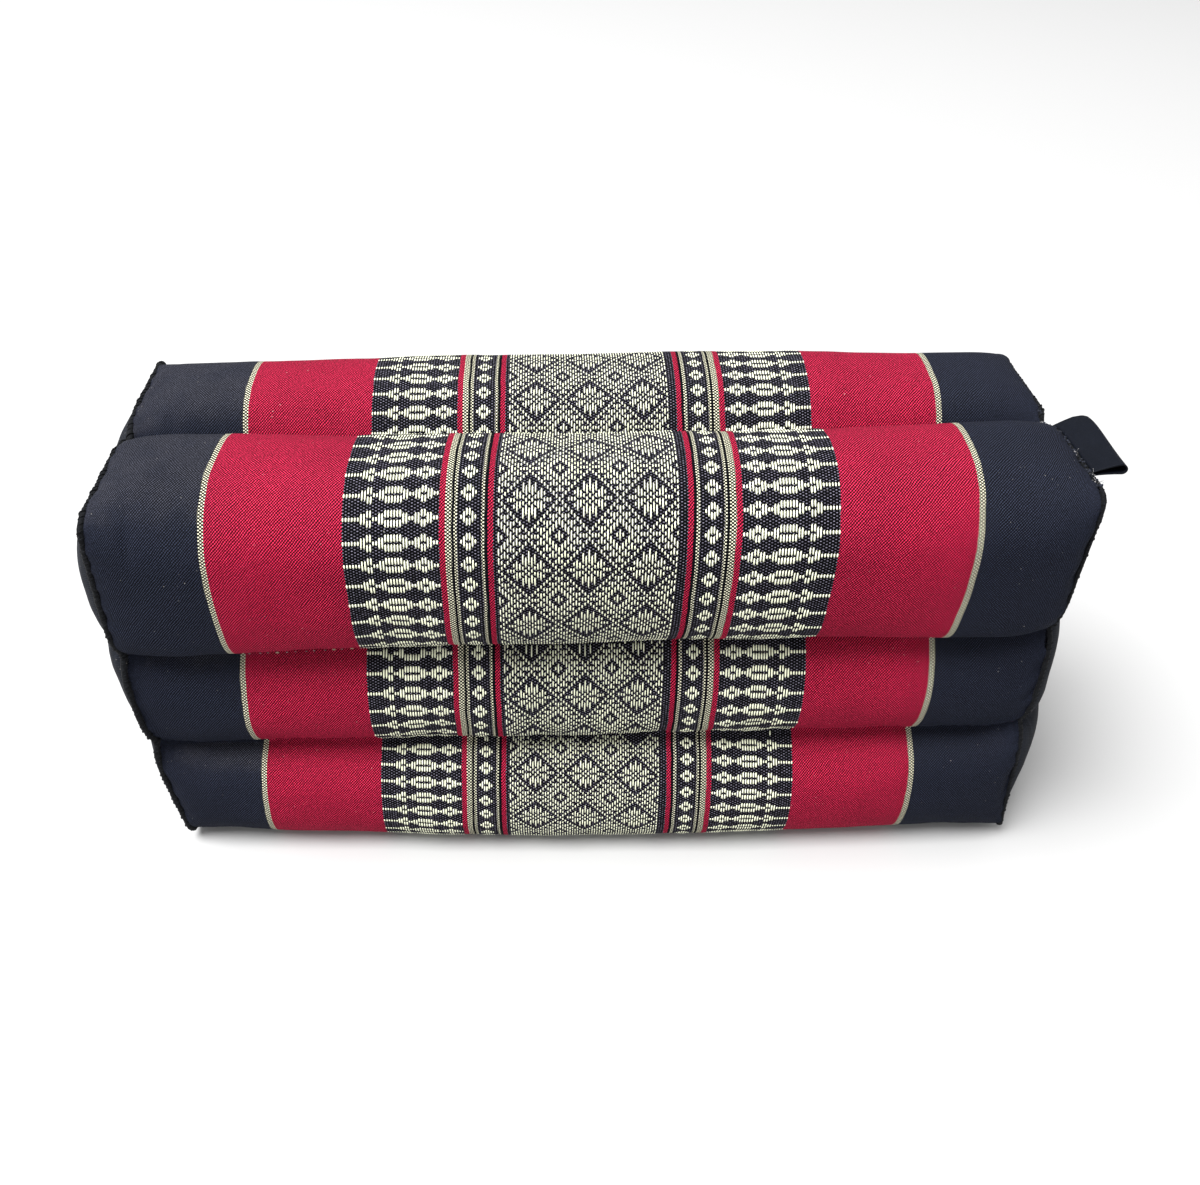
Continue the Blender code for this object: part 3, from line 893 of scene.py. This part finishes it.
# The woven figures are raised floats of pale thread, given by their centre pick and length
floats = {
    "rowPicks": 44 / 3,  # picks from one row of beads to the next
    "starRows": 3,
    "height": 0.00028,
    "spread": 0.12,
    "dip": 0.5,  # of a pick, hidden at the ends of a float
    "cells": 24,  # tones kept apart in the baked picture
    "cellMargin": 0.05,
    "seamMargin": 0.0012,
    "lowest": 0.00005,  # over the floor
    # four rows of three points along a float: share of its length, height in the middle, and width
    "rows": [(-0.5, 0.15, 0.45), (-0.30, 0.9, 1.0), (0.30, 0.9, 1.0), (0.5, 0.15, 0.45)],
    "edge": -0.35,  # height of the outer points
}
starPanel = {
    "columnPitch": 0.001016,
    "floatWidth": 0.62,  # of a column
    "middle": -0.0026,
    "columns": (-30, 29),  # outermost ones
    "repeat": 20,
    "picks": 44,
    "parts": 3,
    "chart": [  # for each column away from a star's middle, over half a repeat
        [(2, 3), (9, 9), (20, 3)],
        [(0, 3), (6, 7), (18, 3), (22, 3)],
        [(2, 3), (8, 7), (16, 3), (22, 3)],
        [(3, 5), (14, 3), (18, 3), (22, 3)],
        [(4, 7), (12, 3), (19, 5)],
        [(0, 3), (4, 3), (10, 3), (14, 3), (18, 3), (22, 3)],
        [(0, 3), (8, 3), (15, 5), (22, 7)],
        [(0, 3), (6, 3), (10, 3), (14, 3), (19, 5)],
        [(4, 3), (11, 5), (17, 5)],
        [(2, 3), (6, 3), (10, 3), (15, 5), (22, 3)],
        [(0, 3), (7, 5), (13, 5), (22, 7)],
    ],
}
figures = {"short": [(0, 3)], "tall": [(0, 7)], "split": [(-3, 5), (3, 5)]}
beadBand = {
    "from": 0.0508,
    "columnPitch": 0.001028,
    "floatWidth": 0.82,
    "runs": [("short", 2), ("tall", 2), ("split", 2), ("tall", 2), ("short", 2), ("tall", 2),
             ("split", 6), ("tall", 2), ("short", 2), ("split", 2), ("tall", 2), ("short", 6)],
}
lozengeBand = {
    "from": 0.0380,
    "columnPitch": 0.00095,
    "floatWidth": 0.84,
    "runs": [("short", 1), ("tall", 1), ("split", 2), ("tall", 1), ("short", 1)],
}


def columnFloats(x, figure, first, rows):
    # one column's floats on all six tubes, where its figure comes again every so many rows
    laid = []
    for index, tube in enumerate(tubes):
        pick, repeat = tube["rowPitch"] / floats["rowPicks"], rows * tube["rowPitch"]
        start = (tube[first] + tube["skew"] * (x - stripes["middle"])) % repeat - repeat
        for row in range(int(cloth["lengths"][index] / repeat) + 3):
            for centre, long in figure:
                place = start + repeat * row + centre * pick
                laid.append((index, x, place, (long - floats["dip"]) * pick))
    return laid


def starFloats():
    parts = [[] for _ in range(starPanel["parts"])]
    first, last = starPanel["columns"]
    repeat, picks = starPanel["repeat"], starPanel["picks"]
    for column in range(first, last + 1):
        figure = starPanel["chart"][abs((column + repeat // 2) % repeat - repeat // 2)]
        figure = figure + [(picks - pick, long) for pick, long in figure if pick not in (0, picks // 2)]
        x = starPanel["middle"] + column * starPanel["columnPitch"]
        part = (column - first) * len(parts) // (last + 1 - first)
        parts[part] += columnFloats(x, figure, "star", floats["starRows"])
    return parts


def bandFloats(band, side):
    laid = []
    for column, name in enumerate(name for name, count in band["runs"] for _ in range(count)):
        x = stripes["middle"] + side * (band["from"] + (column + 0.5) * band["columnPitch"])
        laid += columnFloats(x, figures[name], "row", 1)
    return laid


def eulersFrom(forward, up):
    # XYZ angles that turn local X to forward and local Z to up
    across = unit(np.cross(up, forward))
    up = np.cross(forward, across)
    return np.stack([
        np.arctan2(across[:, 2], up[:, 2]),
        -np.arcsin(np.clip(forward[:, 2], -1, 1)),
        np.arctan2(forward[:, 1], forward[:, 0]),
    ], 1)


def carrierPoints(name, laid):
    # points on the cloth that carry each float's turn, length and tone
    rows, kept = np.array(laid), []
    for index, length in enumerate(cloth["lengths"]):
        own = rows[rows[:, 0] == index]
        low = floats["seamMargin"] + 0.5 * own[:, 3]
        own = own[(own[:, 2] > low) & (own[:, 2] < length - low)]
        x = own[:, 1] + pulledBy(np.array(tubes[index]["pull"]), own[:, 1], own[:, 2] / length)
        points, normals, around = onCloth(index, x, own[:, 2])
        kept.append(np.concatenate([points, eulersFrom(around, normals), own[:, 3:]], 1))
    kept = np.concatenate(kept)
    carrier = meshObject(name, kept[:, :3], [])
    cells = floats["cells"] ** 2
    shade = (rng.integers(0, cells, len(kept)) + 0.5) / cells
    setValues(carrier.data, turn=kept[:, 3:6], reach=kept[:, 6], shade=shade)
    return carrier


def makeFloatBar():
    # one float, a metre long until it is scaled, which dips at both ends
    points = []
    for x, up, wide in floats["rows"]:
        points += [(x, -0.5 * wide, floats["edge"]), (x, 0.0, up), (x, 0.5 * wide, floats["edge"])]
    bar = meshObject("floatBar", points, ringFaces(4, 3))
    setValues(bar.data, side=[1, 0, 1] * 4)
    return bar


def namedValue(tree, name, kind="FLOAT"):
    return addNode(tree, "GeometryNodeInputNamedAttribute", {"Name": name}, data_type=kind)["Attribute"]


def chance(seed, low, high):
    inputs = {2: low, 3: high, "Seed": seed}
    return addNode(seed.tree, "FunctionNodeRandomValue", inputs, data_type="FLOAT")[1]


def layOn(given, out, points, shape, rotation, scale):
    # a copy of the shape on each point, made real and given its finish
    tree = given.tree
    copied = addNode(tree, "GeometryNodeObjectInfo", {"Object": shape})["Geometry"]
    inputs = {"Points": points, "Instance": copied, "Rotation": rotation, "Scale": scale}
    laid = addNode(tree, "GeometryNodeInstanceOnPoints", inputs)
    real = addNode(tree, "GeometryNodeRealizeInstances", {0: laid})
    feed(out[0], addNode(tree, "GeometryNodeSetMaterial", {"Geometry": real, "Material": given["Finish"]}))
    tree.is_modifier = True
    return tree


def layFloatsTree():
    inputs = {"Carriers": "Geometry", "Float": "Object", "Width": "Float", "Height": "Float",
              "Spread": "Float", "Seed": "Int", "Finish": "Material"}
    tree, given, out = newTree("layFloats", "GeometryNodeTree", inputs, {"Floats": "Geometry"})
    rotation = addNode(tree, "FunctionNodeEulerToRotation", {0: namedValue(tree, "turn", "FLOAT_VECTOR")})
    swing = chance(given["Seed"], 1.0 - given["Spread"], given["Spread"] + 1.0)
    sizes = {0: namedValue(tree, "reach"), 1: given["Width"] * swing, 2: given["Height"] * swing}
    scale = addNode(tree, "ShaderNodeCombineXYZ", sizes)
    return layOn(given, out, given["Carriers"], given["Float"], rotation, scale)


def grownMesh(name, base, tree, **values):
    # runs a node tree on an object and keeps the result as a plain mesh
    maker = base.modifiers.new(tree.name, "NODES")
    maker.node_group = tree
    for socket in tree.interface.items_tree:
        if socket.name in values:
            maker[socket.identifier] = values[socket.name]
    bpy.context.view_layer.update()
    grown = base.evaluated_get(bpy.context.evaluated_depsgraph_get())
    mesh = bpy.data.meshes.new_from_object(grown)
    mesh.name = name
    mesh.shade_smooth()
    base.modifiers.remove(maker)
    bpy.data.objects.remove(base)
    return addObject(name, mesh)


def toneMap(mesh):
    # each float lies in the cell of the baked picture that has its tone
    cells, margin = floats["cells"], floats["cellMargin"]
    along, sideways = np.repeat([0.0, 0.2, 0.8, 1.0], 3), np.tile([0.0, 0.5, 1.0], 4)
    shades = np.empty(len(mesh.vertices))
    mesh.attributes["shade"].data.foreach_get("value", shades)
    corners = cornerVertices(mesh)
    cell = np.floor(shades[corners] * cells ** 2).astype(int)
    inside = np.stack([along, sideways], 1)[corners % len(along)] * (1 - 2 * margin) + margin
    setMap(mesh, "OFBake", (np.stack([cell % cells, cell // cells], 1) + inside) / cells)


def makeFloats():
    groups = [("starFloats%d" % (part + 1), laid, starPanel) for part, laid in enumerate(starFloats())]
    for sideName, side in (("Left", -1), ("Right", 1)):
        groups.append(("beadFloats" + sideName, bandFloats(beadBand, side), beadBand))
        groups.append(("lozengeFloats" + sideName, bandFloats(lozengeBand, side), lozengeBand))
    total = 0
    for seed, (name, laid, band) in enumerate(groups):
        item = grownMesh(
            name, carrierPoints(name + "Carriers", laid), layFloats, Float=floatBar,
            Width=band["floatWidth"] * band["columnPitch"], Height=floats["height"], Spread=floats["spread"],
            Seed=seed, Finish=floatThread,
        )
        points = placesOf(item.data)
        points[:, 2] = np.maximum(points[:, 2], floats["lowest"])
        item.data.vertices.foreach_set("co", points.ravel())
        toneMap(item.data)
        dress(item)
        total += len(item.data.polygons)
    print("figures laid:", total, "faces")


seamStitches = {  # a few stitches that show along one seam
    "tube": 1,
    "fromX": -0.1307,
    "pitch": 0.0035,
    "count": 13,
    "fromSeam": (0.0029, 0.0017),  # at the first and the last one
    "height": 0.0005,
    "spread": 0.3,
    "seed": 21,
    "kinds": {  # thread, which ones, length and width
        "bright": ("paleThread", [3, 9, 11], 0.0014, 0.0007),
        "faint": ("greyThread", [0, 1, 2, 4, 5, 6, 7, 8, 10, 12], 0.0009, 0.0005),
    },
}


def makeSeamStitches():
    count = seamStitches["count"]
    x = seamStitches["fromX"] + seamStitches["pitch"] * (np.arange(count) + rng.uniform(-0.1, 0.1, count))
    points, normals, around = onCloth(seamStitches["tube"], x, np.linspace(*seamStitches["fromSeam"], count))
    turns = eulersFrom(np.cross(around, normals), normals)
    for kind, (finish, chosen, long, width) in seamStitches["kinds"].items():
        carrier = meshObject(kind + "StitchCarriers", points[chosen], [])
        setValues(carrier.data, turn=turns[chosen], reach=np.full(len(chosen), long))
        item = grownMesh(
            kind + "SeamStitches", carrier, layFloats, Float=floatBar, Width=width,
            Height=seamStitches["height"], Spread=seamStitches["spread"],
            Seed=seamStitches["seed"], Finish=thread[finish],
        )
        dress(item)


floatBar = makeFloatBar()
layFloats = layFloatsTree()
makeSeamStitches()
makeFloats()
bpy.data.objects.remove(floatBar)

panel = {  # end panels, domed by the filling
    "tubeRows": 44,  # rows of mesh across a tube, even
    "inset": 0.0018,  # rim inside the crest of the end seam
    "setback": 0.0012,
    "trough": 0.0030,  # up the middle, where the tubes meet behind
    "troughWidth": 0.22,
    "gap": 0.00055,
    "thickness": 0.0010,
    "halfSizes": (0.055, 0.083),  # roughly, across and up
    "rimFade": 0.004,
    "lumps": (0.0011, 26.0),  # height and scale
    "pucker": (0.0007, 95.0),
    "puckerReach": 0.012,
}


def domeHeight(a, b, end):
    # a and b run from -1 to 1 across the panel and down it
    dome = (1 - np.abs(a) ** end["acrossPower"]) * (1 - np.abs(b) ** end["upPower"])
    trough = panel["trough"] * np.exp(-(a / panel["troughWidth"]) ** 2)
    for place, depth in ((-0.5, end["upperTrough"]), (0.5, end["lowerTrough"])):
        trough = np.maximum(trough, depth * np.exp(-((b - place) / (0.5 * panel["troughWidth"])) ** 2))
    return (end["dome"] * (1 + end["lean"] * b) - trough) * dome


def panelGrid(end):
    # points that fill an end outline, from the top edge down, drawn between its four sides
    rows = panel["tubeRows"]
    line, outward = endLine(end, rows)
    rim = line - panel["inset"] * outward
    rim[:, 0] -= end["side"] * panel["setback"]
    half = rows // 2
    i, j = np.arange(rows + 1), np.arange(2 * rows + 1)
    top, low = rim[(half - i) % len(rim)], rim[half + 2 * rows + i]
    front, back = rim[half + j], rim[(half - rows - j) % len(rim)]
    a, b = (i / rows)[None, :, None], (j / (2 * rows))[:, None, None]
    ruled = (1 - b) * top[None] + b * low[None] + (1 - a) * front[:, None] + a * back[:, None]
    corners = (1 - a) * (1 - b) * top[0] + a * (1 - b) * top[-1] + (1 - a) * b * low[0] + a * b * low[-1]
    grid = ruled - corners
    a, b = 2 * a[..., 0] - 1, 2 * b[..., 0] - 1
    toRim = np.minimum((1 - np.abs(a)) * panel["halfSizes"][0], (1 - np.abs(b)) * panel["halfSizes"][1])
    uneven = noiseAt(grid, panel["pucker"], 5.0) * np.exp(-toRim / panel["puckerReach"])
    uneven += noiseAt(grid, panel["lumps"], 2.0 + end["side"])
    bulge = domeHeight(a, b, end) + np.clip(toRim / panel["rimFade"], 0, 1) * uneven
    grid[..., 0] += end["side"] * bulge
    return grid


def sheetArea(grid):
    across = np.cross(grid[1:, 1:] - grid[:-1, :-1], grid[1:, :-1] - grid[:-1, 1:])
    return 0.5 * float(np.linalg.norm(across, axis=-1).sum())


def makeEndPanel(name, end):
    grid = panelGrid(end)
    outer, inner = grid.copy(), grid.copy()
    outer[..., 0] += end["side"] * (panel["gap"] + panel["thickness"])
    inner[..., 0] += end["side"] * panel["gap"]
    item = sheetObject("endPanel" + name.capitalize(), outer, inner, endCloth)
    width, height = [
        float(np.linalg.norm(np.diff(line, axis=0), axis=1).sum())
        for line in (outer[len(outer) // 2], outer[:, outer.shape[1] // 2])
    ]
    print("end panel", name, "cut %.0f by %.0f mm, %.4f m2" % (1000 * width, 1000 * height, sheetArea(outer)))
    dress(item, "end_panel_" + name)


seam = {  # rolled end seams with overcast stitches
    "tubeRows": 60,
    "fineRows": 200,  # to find places along its top, over a height
    "topFrom": 0.14,
    "sides": 10,
    "radius": {"left": 0.00125, "right": 0.00085},
    "lumps": (0.28, 240.0),  # share of the radius, and scale
    "stitchPitch": 0.0024,
    "threadShare": 0.20,  # thread radius as a share of the loop's
    "slant": 0.55,
    "looseness": 0.18,
    "seed": 40,
    "loopSteps": 12,
    "loopSides": 4,
    "swellings": {  # y and z on the seam, reach and growth, where it was closed by hand
        "left": [],
        "right": [
            (0.0070, 0.172, 0.0050, 0.45), (0.0535, 0.164, 0.0022, 0.8), (-0.0440, 0.166, 0.0040, 0.35),
        ],
    },
}


def makeEndSeam(name, end):
    line, outward = endLine(end, seam["tubeRows"])
    radii = seam["radius"][name] * (1 + noiseAt(line, seam["lumps"], 6.0))
    for y, z, reach, growth in seam["swellings"][name]:
        away = np.hypot(line[:, 1] - y, line[:, 2] - z)
        radii *= 1 + growth * np.exp(-(away / reach) ** 2)
    ring = circle(seam["sides"], outward, np.array([1.0, 0, 0]))
    points = line[:, None] + radii[:, None, None] * ring
    points[..., 2] = np.maximum(points[..., 2], cushion["floorGap"])
    faces = loopFaces(len(line), seam["sides"])
    item = meshObject("endSeam" + name.capitalize(), points, faces, thread["rollThread"])
    dress(item, "end_seam_" + name)
    return line, outward, radii


def onEndSeam(depths):
    # places on top of the right end seam
    line = endLine(ends["right"], seam["fineRows"])[0]
    line = line[line[:, 2] > seam["topFrom"]]
    line = line[np.argsort(line[:, 1])]
    return readOff(line, depths, line[:, 1])


def makeStitchLoop():
    # one turn of thread round the roll, with a radius of one until it is scaled
    centre = circle(seam["loopSteps"], np.array([1.0, 0, 0]), np.array([0, 1.0, 0]))
    ring = circle(seam["loopSides"], centre, np.array([0, 0, 1.0]))
    points = centre[:, None] + seam["threadShare"] * ring
    return meshObject("stitchLoop", points, loopFaces(seam["loopSteps"], seam["loopSides"]))


def overcastTree():
    inputs = {"Path": "Geometry", "Loop": "Object", "Pitch": "Float", "Slant": "Float",
              "Looseness": "Float", "Seed": "Int", "Finish": "Material"}
    tree, given, out = newTree("overcastEdge", "GeometryNodeTree", inputs, {"Stitches": "Geometry"})
    curve = addNode(tree, "GeometryNodeMeshToCurve", {"Mesh": given["Path"]})
    inputs = {"Curve": curve, "Length": given["Pitch"]}
    spaced = addNode(tree, "GeometryNodeResampleCurve", inputs, mode="LENGTH")
    tangent = addNode(tree, "GeometryNodeInputTangent")
    facing = addNode(tree, "FunctionNodeAlignRotationToVector", {"Vector": tangent}, axis="Z")
    inputs = {"Rotation": facing, "Vector": namedValue(tree, "outward", "FLOAT_VECTOR")}
    turned = addNode(tree, "FunctionNodeAlignRotationToVector", inputs, axis="X", pivot_axis="Z")
    loose, seed = given["Looseness"], given["Seed"]
    slant = given["Slant"] + chance(seed + 1.0, loose * -1.2, loose)
    sway = chance(seed + 2.0, loose * -0.6, loose * 0.6)
    angles = addNode(tree, "ShaderNodeCombineXYZ", {0: slant, 1: sway})
    tilt = addNode(tree, "FunctionNodeEulerToRotation", {0: angles})
    rotation = addNode(tree, "FunctionNodeRotateRotation", {0: turned, 1: tilt}, rotation_space="LOCAL")
    scale = namedValue(tree, "size") * chance(seed + 3.0, 0.95, loose + 1.05)
    return layOn(given, out, spaced, given["Loop"], rotation, scale)


def makeEnds():
    loop, tree = makeStitchLoop(), overcastTree()
    for number, (name, end) in enumerate(ends.items()):
        makeEndPanel(name, end)
        line, outward, radii = makeEndSeam(name, end)
        steps = np.arange(len(line))
        path = meshObject("stitchPath", line, [], edges=np.stack([steps, np.roll(steps, -1)], 1).tolist())
        setValues(path.data, outward=outward, size=radii)
        item = grownMesh(
            "endStitches" + name.capitalize(), path, tree, Loop=loop, Pitch=seam["stitchPitch"],
            Slant=seam["slant"], Looseness=seam["looseness"],
            Seed=seam["seed"] + number, Finish=thread["rollThread"],
        )
        dress(item)
    bpy.data.objects.remove(loop)


makeEnds()
print("ends made")

label = {  # folded ribbon, left bare
    "fromY": -0.0046,
    "toY": -0.0415,
    "steps": 44,
    "reach": 0.0115,
    "reachSteps": 10,
    "bendSteps": 8,
    "layer": 0.00055,
    "fold": (0.0006, 0.0019),  # radius of the fold at its back and front, to the middle of the ribbon
    "rise": (math.radians(28), math.radians(18)),  # at its back and at its front
    "flatter": 0.35,  # share of the fold's thickness that is left at the seam
    "start": 0.0009,  # from the middle of the seam roll
    "cornerRound": 0.0032,
    "sag": 0.0012,
    "wave": (0.0005, 5.0, 1.0),  # height, and radians of it along the label, from the last
}


def makeLabel():
    share = np.linspace(0, 1, label["steps"] + 1)[:, None]
    length = label["fromY"] - label["toY"]
    base = onEndSeam(label["fromY"] - length * share[:, 0])
    toCorner = np.clip(share * length / label["cornerRound"], 0, 1)
    reach = label["reach"] - label["cornerRound"] * (1 - np.sqrt(1 - (1 - toCorner) ** 2))
    fold, rise = [low + (high - low) * share for low, high in (label["fold"], label["rise"])]
    straight = np.linspace(0, 1, label["reachSteps"] + 1)
    bend = math.pi * (np.arange(1, label["bendSteps"]) / label["bendSteps"] - 0.5)
    run = np.concatenate([  # out to the fold on the lower layer, round it, and back on the upper one
        np.stack([straight, -np.ones_like(straight), 0 * straight], 1),
        np.stack([1 + 0 * bend, np.sin(bend), np.cos(bend)], 1),
        np.stack([straight[::-1], np.ones_like(straight), 0 * straight], 1),
    ])
    layers, (height, turns, first) = [], label["wave"]
    for radius in (fold + 0.5 * label["layer"], fold - 0.5 * label["layer"]):
        out = (reach - fold) * run[:, 0] + radius * run[:, 2]
        up = radius * run[:, 1] * (label["flatter"] + (1 - label["flatter"]) * run[:, 0])
        up = up - label["sag"] * (out / label["reach"]) ** 2
        up = up + height * np.sin(turns * share + first) * out / label["reach"]
        away = label["start"] + out
        x = base[:, :1] + np.cos(rise) * away - np.sin(rise) * up
        z = base[:, 2:] + np.sin(rise) * away + np.cos(rise) * up
        layers.append(np.stack([x, np.repeat(base[:, 1:2], out.shape[1], 1), z], -1))
    outer, inner = layers
    item = sheetObject("label", outer, inner, ribbon)
    area = sheetArea(0.5 * (outer + inner))
    print("label cut %.0f mm long, %.1f cm2" % (1000 * length, 1e4 * area))
    area / length
    dress(item, "label_tab")


makeLabel()

fray = {  # loose ends and knots where the right end was closed by hand
    "fromY": 0.012,
    "toY": -0.050,
    "middle": (-0.022, 0.020),  # of most of them, and how far they spread
    "threads": 46,
    "long": (0.0008, 0.0024),
    "radius": (0.00007, 0.00013),
    "steps": 7,
    "sides": 4,
    "ways": ((-0.9, 0.7), (-1, 1), (0.1, 1.0)),  # along each axis
    "start": 0.9,  # share of the roll's radius
    "curl": 0.9,
    "droop": 0.25,
    "taper": 0.5,
    "knots": 40,
    "knotLumps": (0.6, 1800),  # share of the radius, and scale
    "knotSize": (0.00035, 0.0008),
    "knotShift": ((-1.2, 0.4), (0.5, 1.0)),  # outwards and up, in radii of the roll
    "greyPlaces": [0.0005, -0.0272, -0.0288, -0.0425, -0.0475],  # where undyed thread shows, along Y
    "greyThreads": 7,  # at each of them
    "greyReach": 0.0009,
    "greyKnot": (0.00030, 0.00055),
}


def looseThread(root):
    # points round one curled thread end that starts on the roll
    long = rng.uniform(*fray["long"])
    way = unit(np.array([rng.uniform(*reach) for reach in fray["ways"]]))
    curl = unit(np.cross(way, rng.normal(size=3)))
    step = np.linspace(0, 1, fray["steps"])[:, None]
    path = root + way * seam["radius"]["right"] * fray["start"]
    path = path + long * (way * step + curl * rng.uniform(-fray["curl"], fray["curl"]) * step ** 2)
    path[:, 2] -= fray["droop"] * long * step[:, 0] ** 3
    along = unit(np.gradient(path, axis=0))
    side = unit(np.cross(along, (0.31, 0.22, 0.93)))  # any direction that no thread follows
    ring = circle(fray["sides"], side, np.cross(along, side))
    radii = rng.uniform(*fray["radius"]) * np.linspace(1, fray["taper"], fray["steps"])
    return (path[:, None] + radii[:, None, None] * ring).reshape(-1, 3)


def addKnot(lumps, root, sizes):
    x, z = [rng.uniform(*reach) for reach in fray["knotShift"]]
    shift = np.array([x, 0, z]) * seam["radius"]["right"]
    made = bmesh.ops.create_icosphere(lumps, subdivisions=2, radius=rng.uniform(*sizes))
    lumpy, scale = fray["knotLumps"]
    for vertex in made["verts"]:
        vertex.co *= 1 + lumpy * noise.noise(vertex.co * scale + Vector(root) * (0.5 * scale))
        vertex.co += Vector(root + shift)


def makeFrays():
    loose = rng.normal(*fray["middle"], fray["threads"] + fray["knots"])
    grey = np.repeat(fray["greyPlaces"], fray["greyThreads"])
    grey = np.concatenate([grey + rng.uniform(-1, 1, len(grey)) * fray["greyReach"], fray["greyPlaces"]])
    for name, depths, knotCount, knotSize in (
        ("worn", np.clip(loose, fray["toY"], fray["fromY"]), fray["knots"], fray["knotSize"]),
        ("grey", grey, len(fray["greyPlaces"]), fray["greyKnot"]),
    ):
        finish, base = thread[name + "Thread"], onEndSeam(depths)
        points = [looseThread(root) for root in base[:-knotCount]]
        one = np.array(ringFaces(fray["steps"], fray["sides"]))
        faces = [(one + len(points[0]) * index).tolist() for index in range(len(points))]
        frays = meshObject(name + "Frays", np.concatenate(points), sum(faces, []), finish)
        lumps = bmesh.new()
        for root in base[-knotCount:]:
            addKnot(lumps, root, knotSize)
        mesh = bpy.data.meshes.new(name + "Knots")
        lumps.to_mesh(mesh)
        lumps.free()
        mesh.shade_smooth()
        mesh.materials.append(finish)
        for item in (frays, addObject(name + "Knots", mesh)):
            dress(item)


makeFrays()
print("label and frays made")

view = {
    "place": (-0.01207, -0.36743, 0.39085),
    "yaw": -0.0419,
    "pitch": -0.6854,
    "roll": -0.0281,
    "focal": 1132.7,  # in pixels of a frame 1200 wide
    "frameWidth": 1200,
}
studio = {
    "paper": {"colour": (0.47, 0.47, 0.47), "roughness": 0.9, "specular": 0.1},
    "floorSize": 6.0,
    "sky": 0.66,
    "target": (0, 0, 0.08),
    "lights": {  # place, size and power
        "key": ((-1.8, -1.0, 4.6), 3.4, 560.0),
        "fill": ((-0.8, -3.0, 0.9), 1.6, 12.0),
    },
}


def makeCamera():
    data = bpy.data.cameras.new("camera")
    data.sensor_fit = "HORIZONTAL"
    data.sensor_width = 36
    data.lens = data.sensor_width * view["focal"] / view["frameWidth"]
    data.clip_start = 0.01
    camera = addObject("camera", data)
    turn = Matrix.Rotation(view["yaw"], 4, "Z")
    turn = turn @ Matrix.Rotation(view["pitch"] + 0.5 * math.pi, 4, "X")
    turn = turn @ Matrix.Rotation(-view["roll"], 4, "Z")
    camera.matrix_world = Matrix.Translation(view["place"]) @ turn
    bpy.context.scene.camera = camera


def makeStudio():
    bpy.context.scene.view_settings.view_transform = "Standard"
    paper, shader, _ = newMaterial("palePaper", studio["paper"])
    feed(shader["Base Color"], studio["paper"]["colour"])
    half = 0.5 * studio["floorSize"]
    corners = [(-half, -half, 0), (half, -half, 0), (half, half, 0), (-half, half, 0)]
    meshObject("floor", corners, [(0, 1, 2, 3)], paper)
    world = bpy.data.worlds.new("studio")
    world.use_nodes = True
    sky = world.node_tree.nodes["Background"].inputs
    feed(sky["Color"], (1, 1, 1))
    feed(sky["Strength"], studio["sky"])
    bpy.context.scene.world = world
    for name, (place, size, power) in studio["lights"].items():
        data = bpy.data.lights.new(name, "AREA")
        data.shape = "DISK"
        data.size = size
        data.energy = power
        light = addObject(name, data)
        light.location = place
        light.rotation_euler = (Vector(studio["target"]) - Vector(place)).to_track_quat("-Z", "Y").to_euler()


makeCamera()
makeStudio()
print("camera and light set")
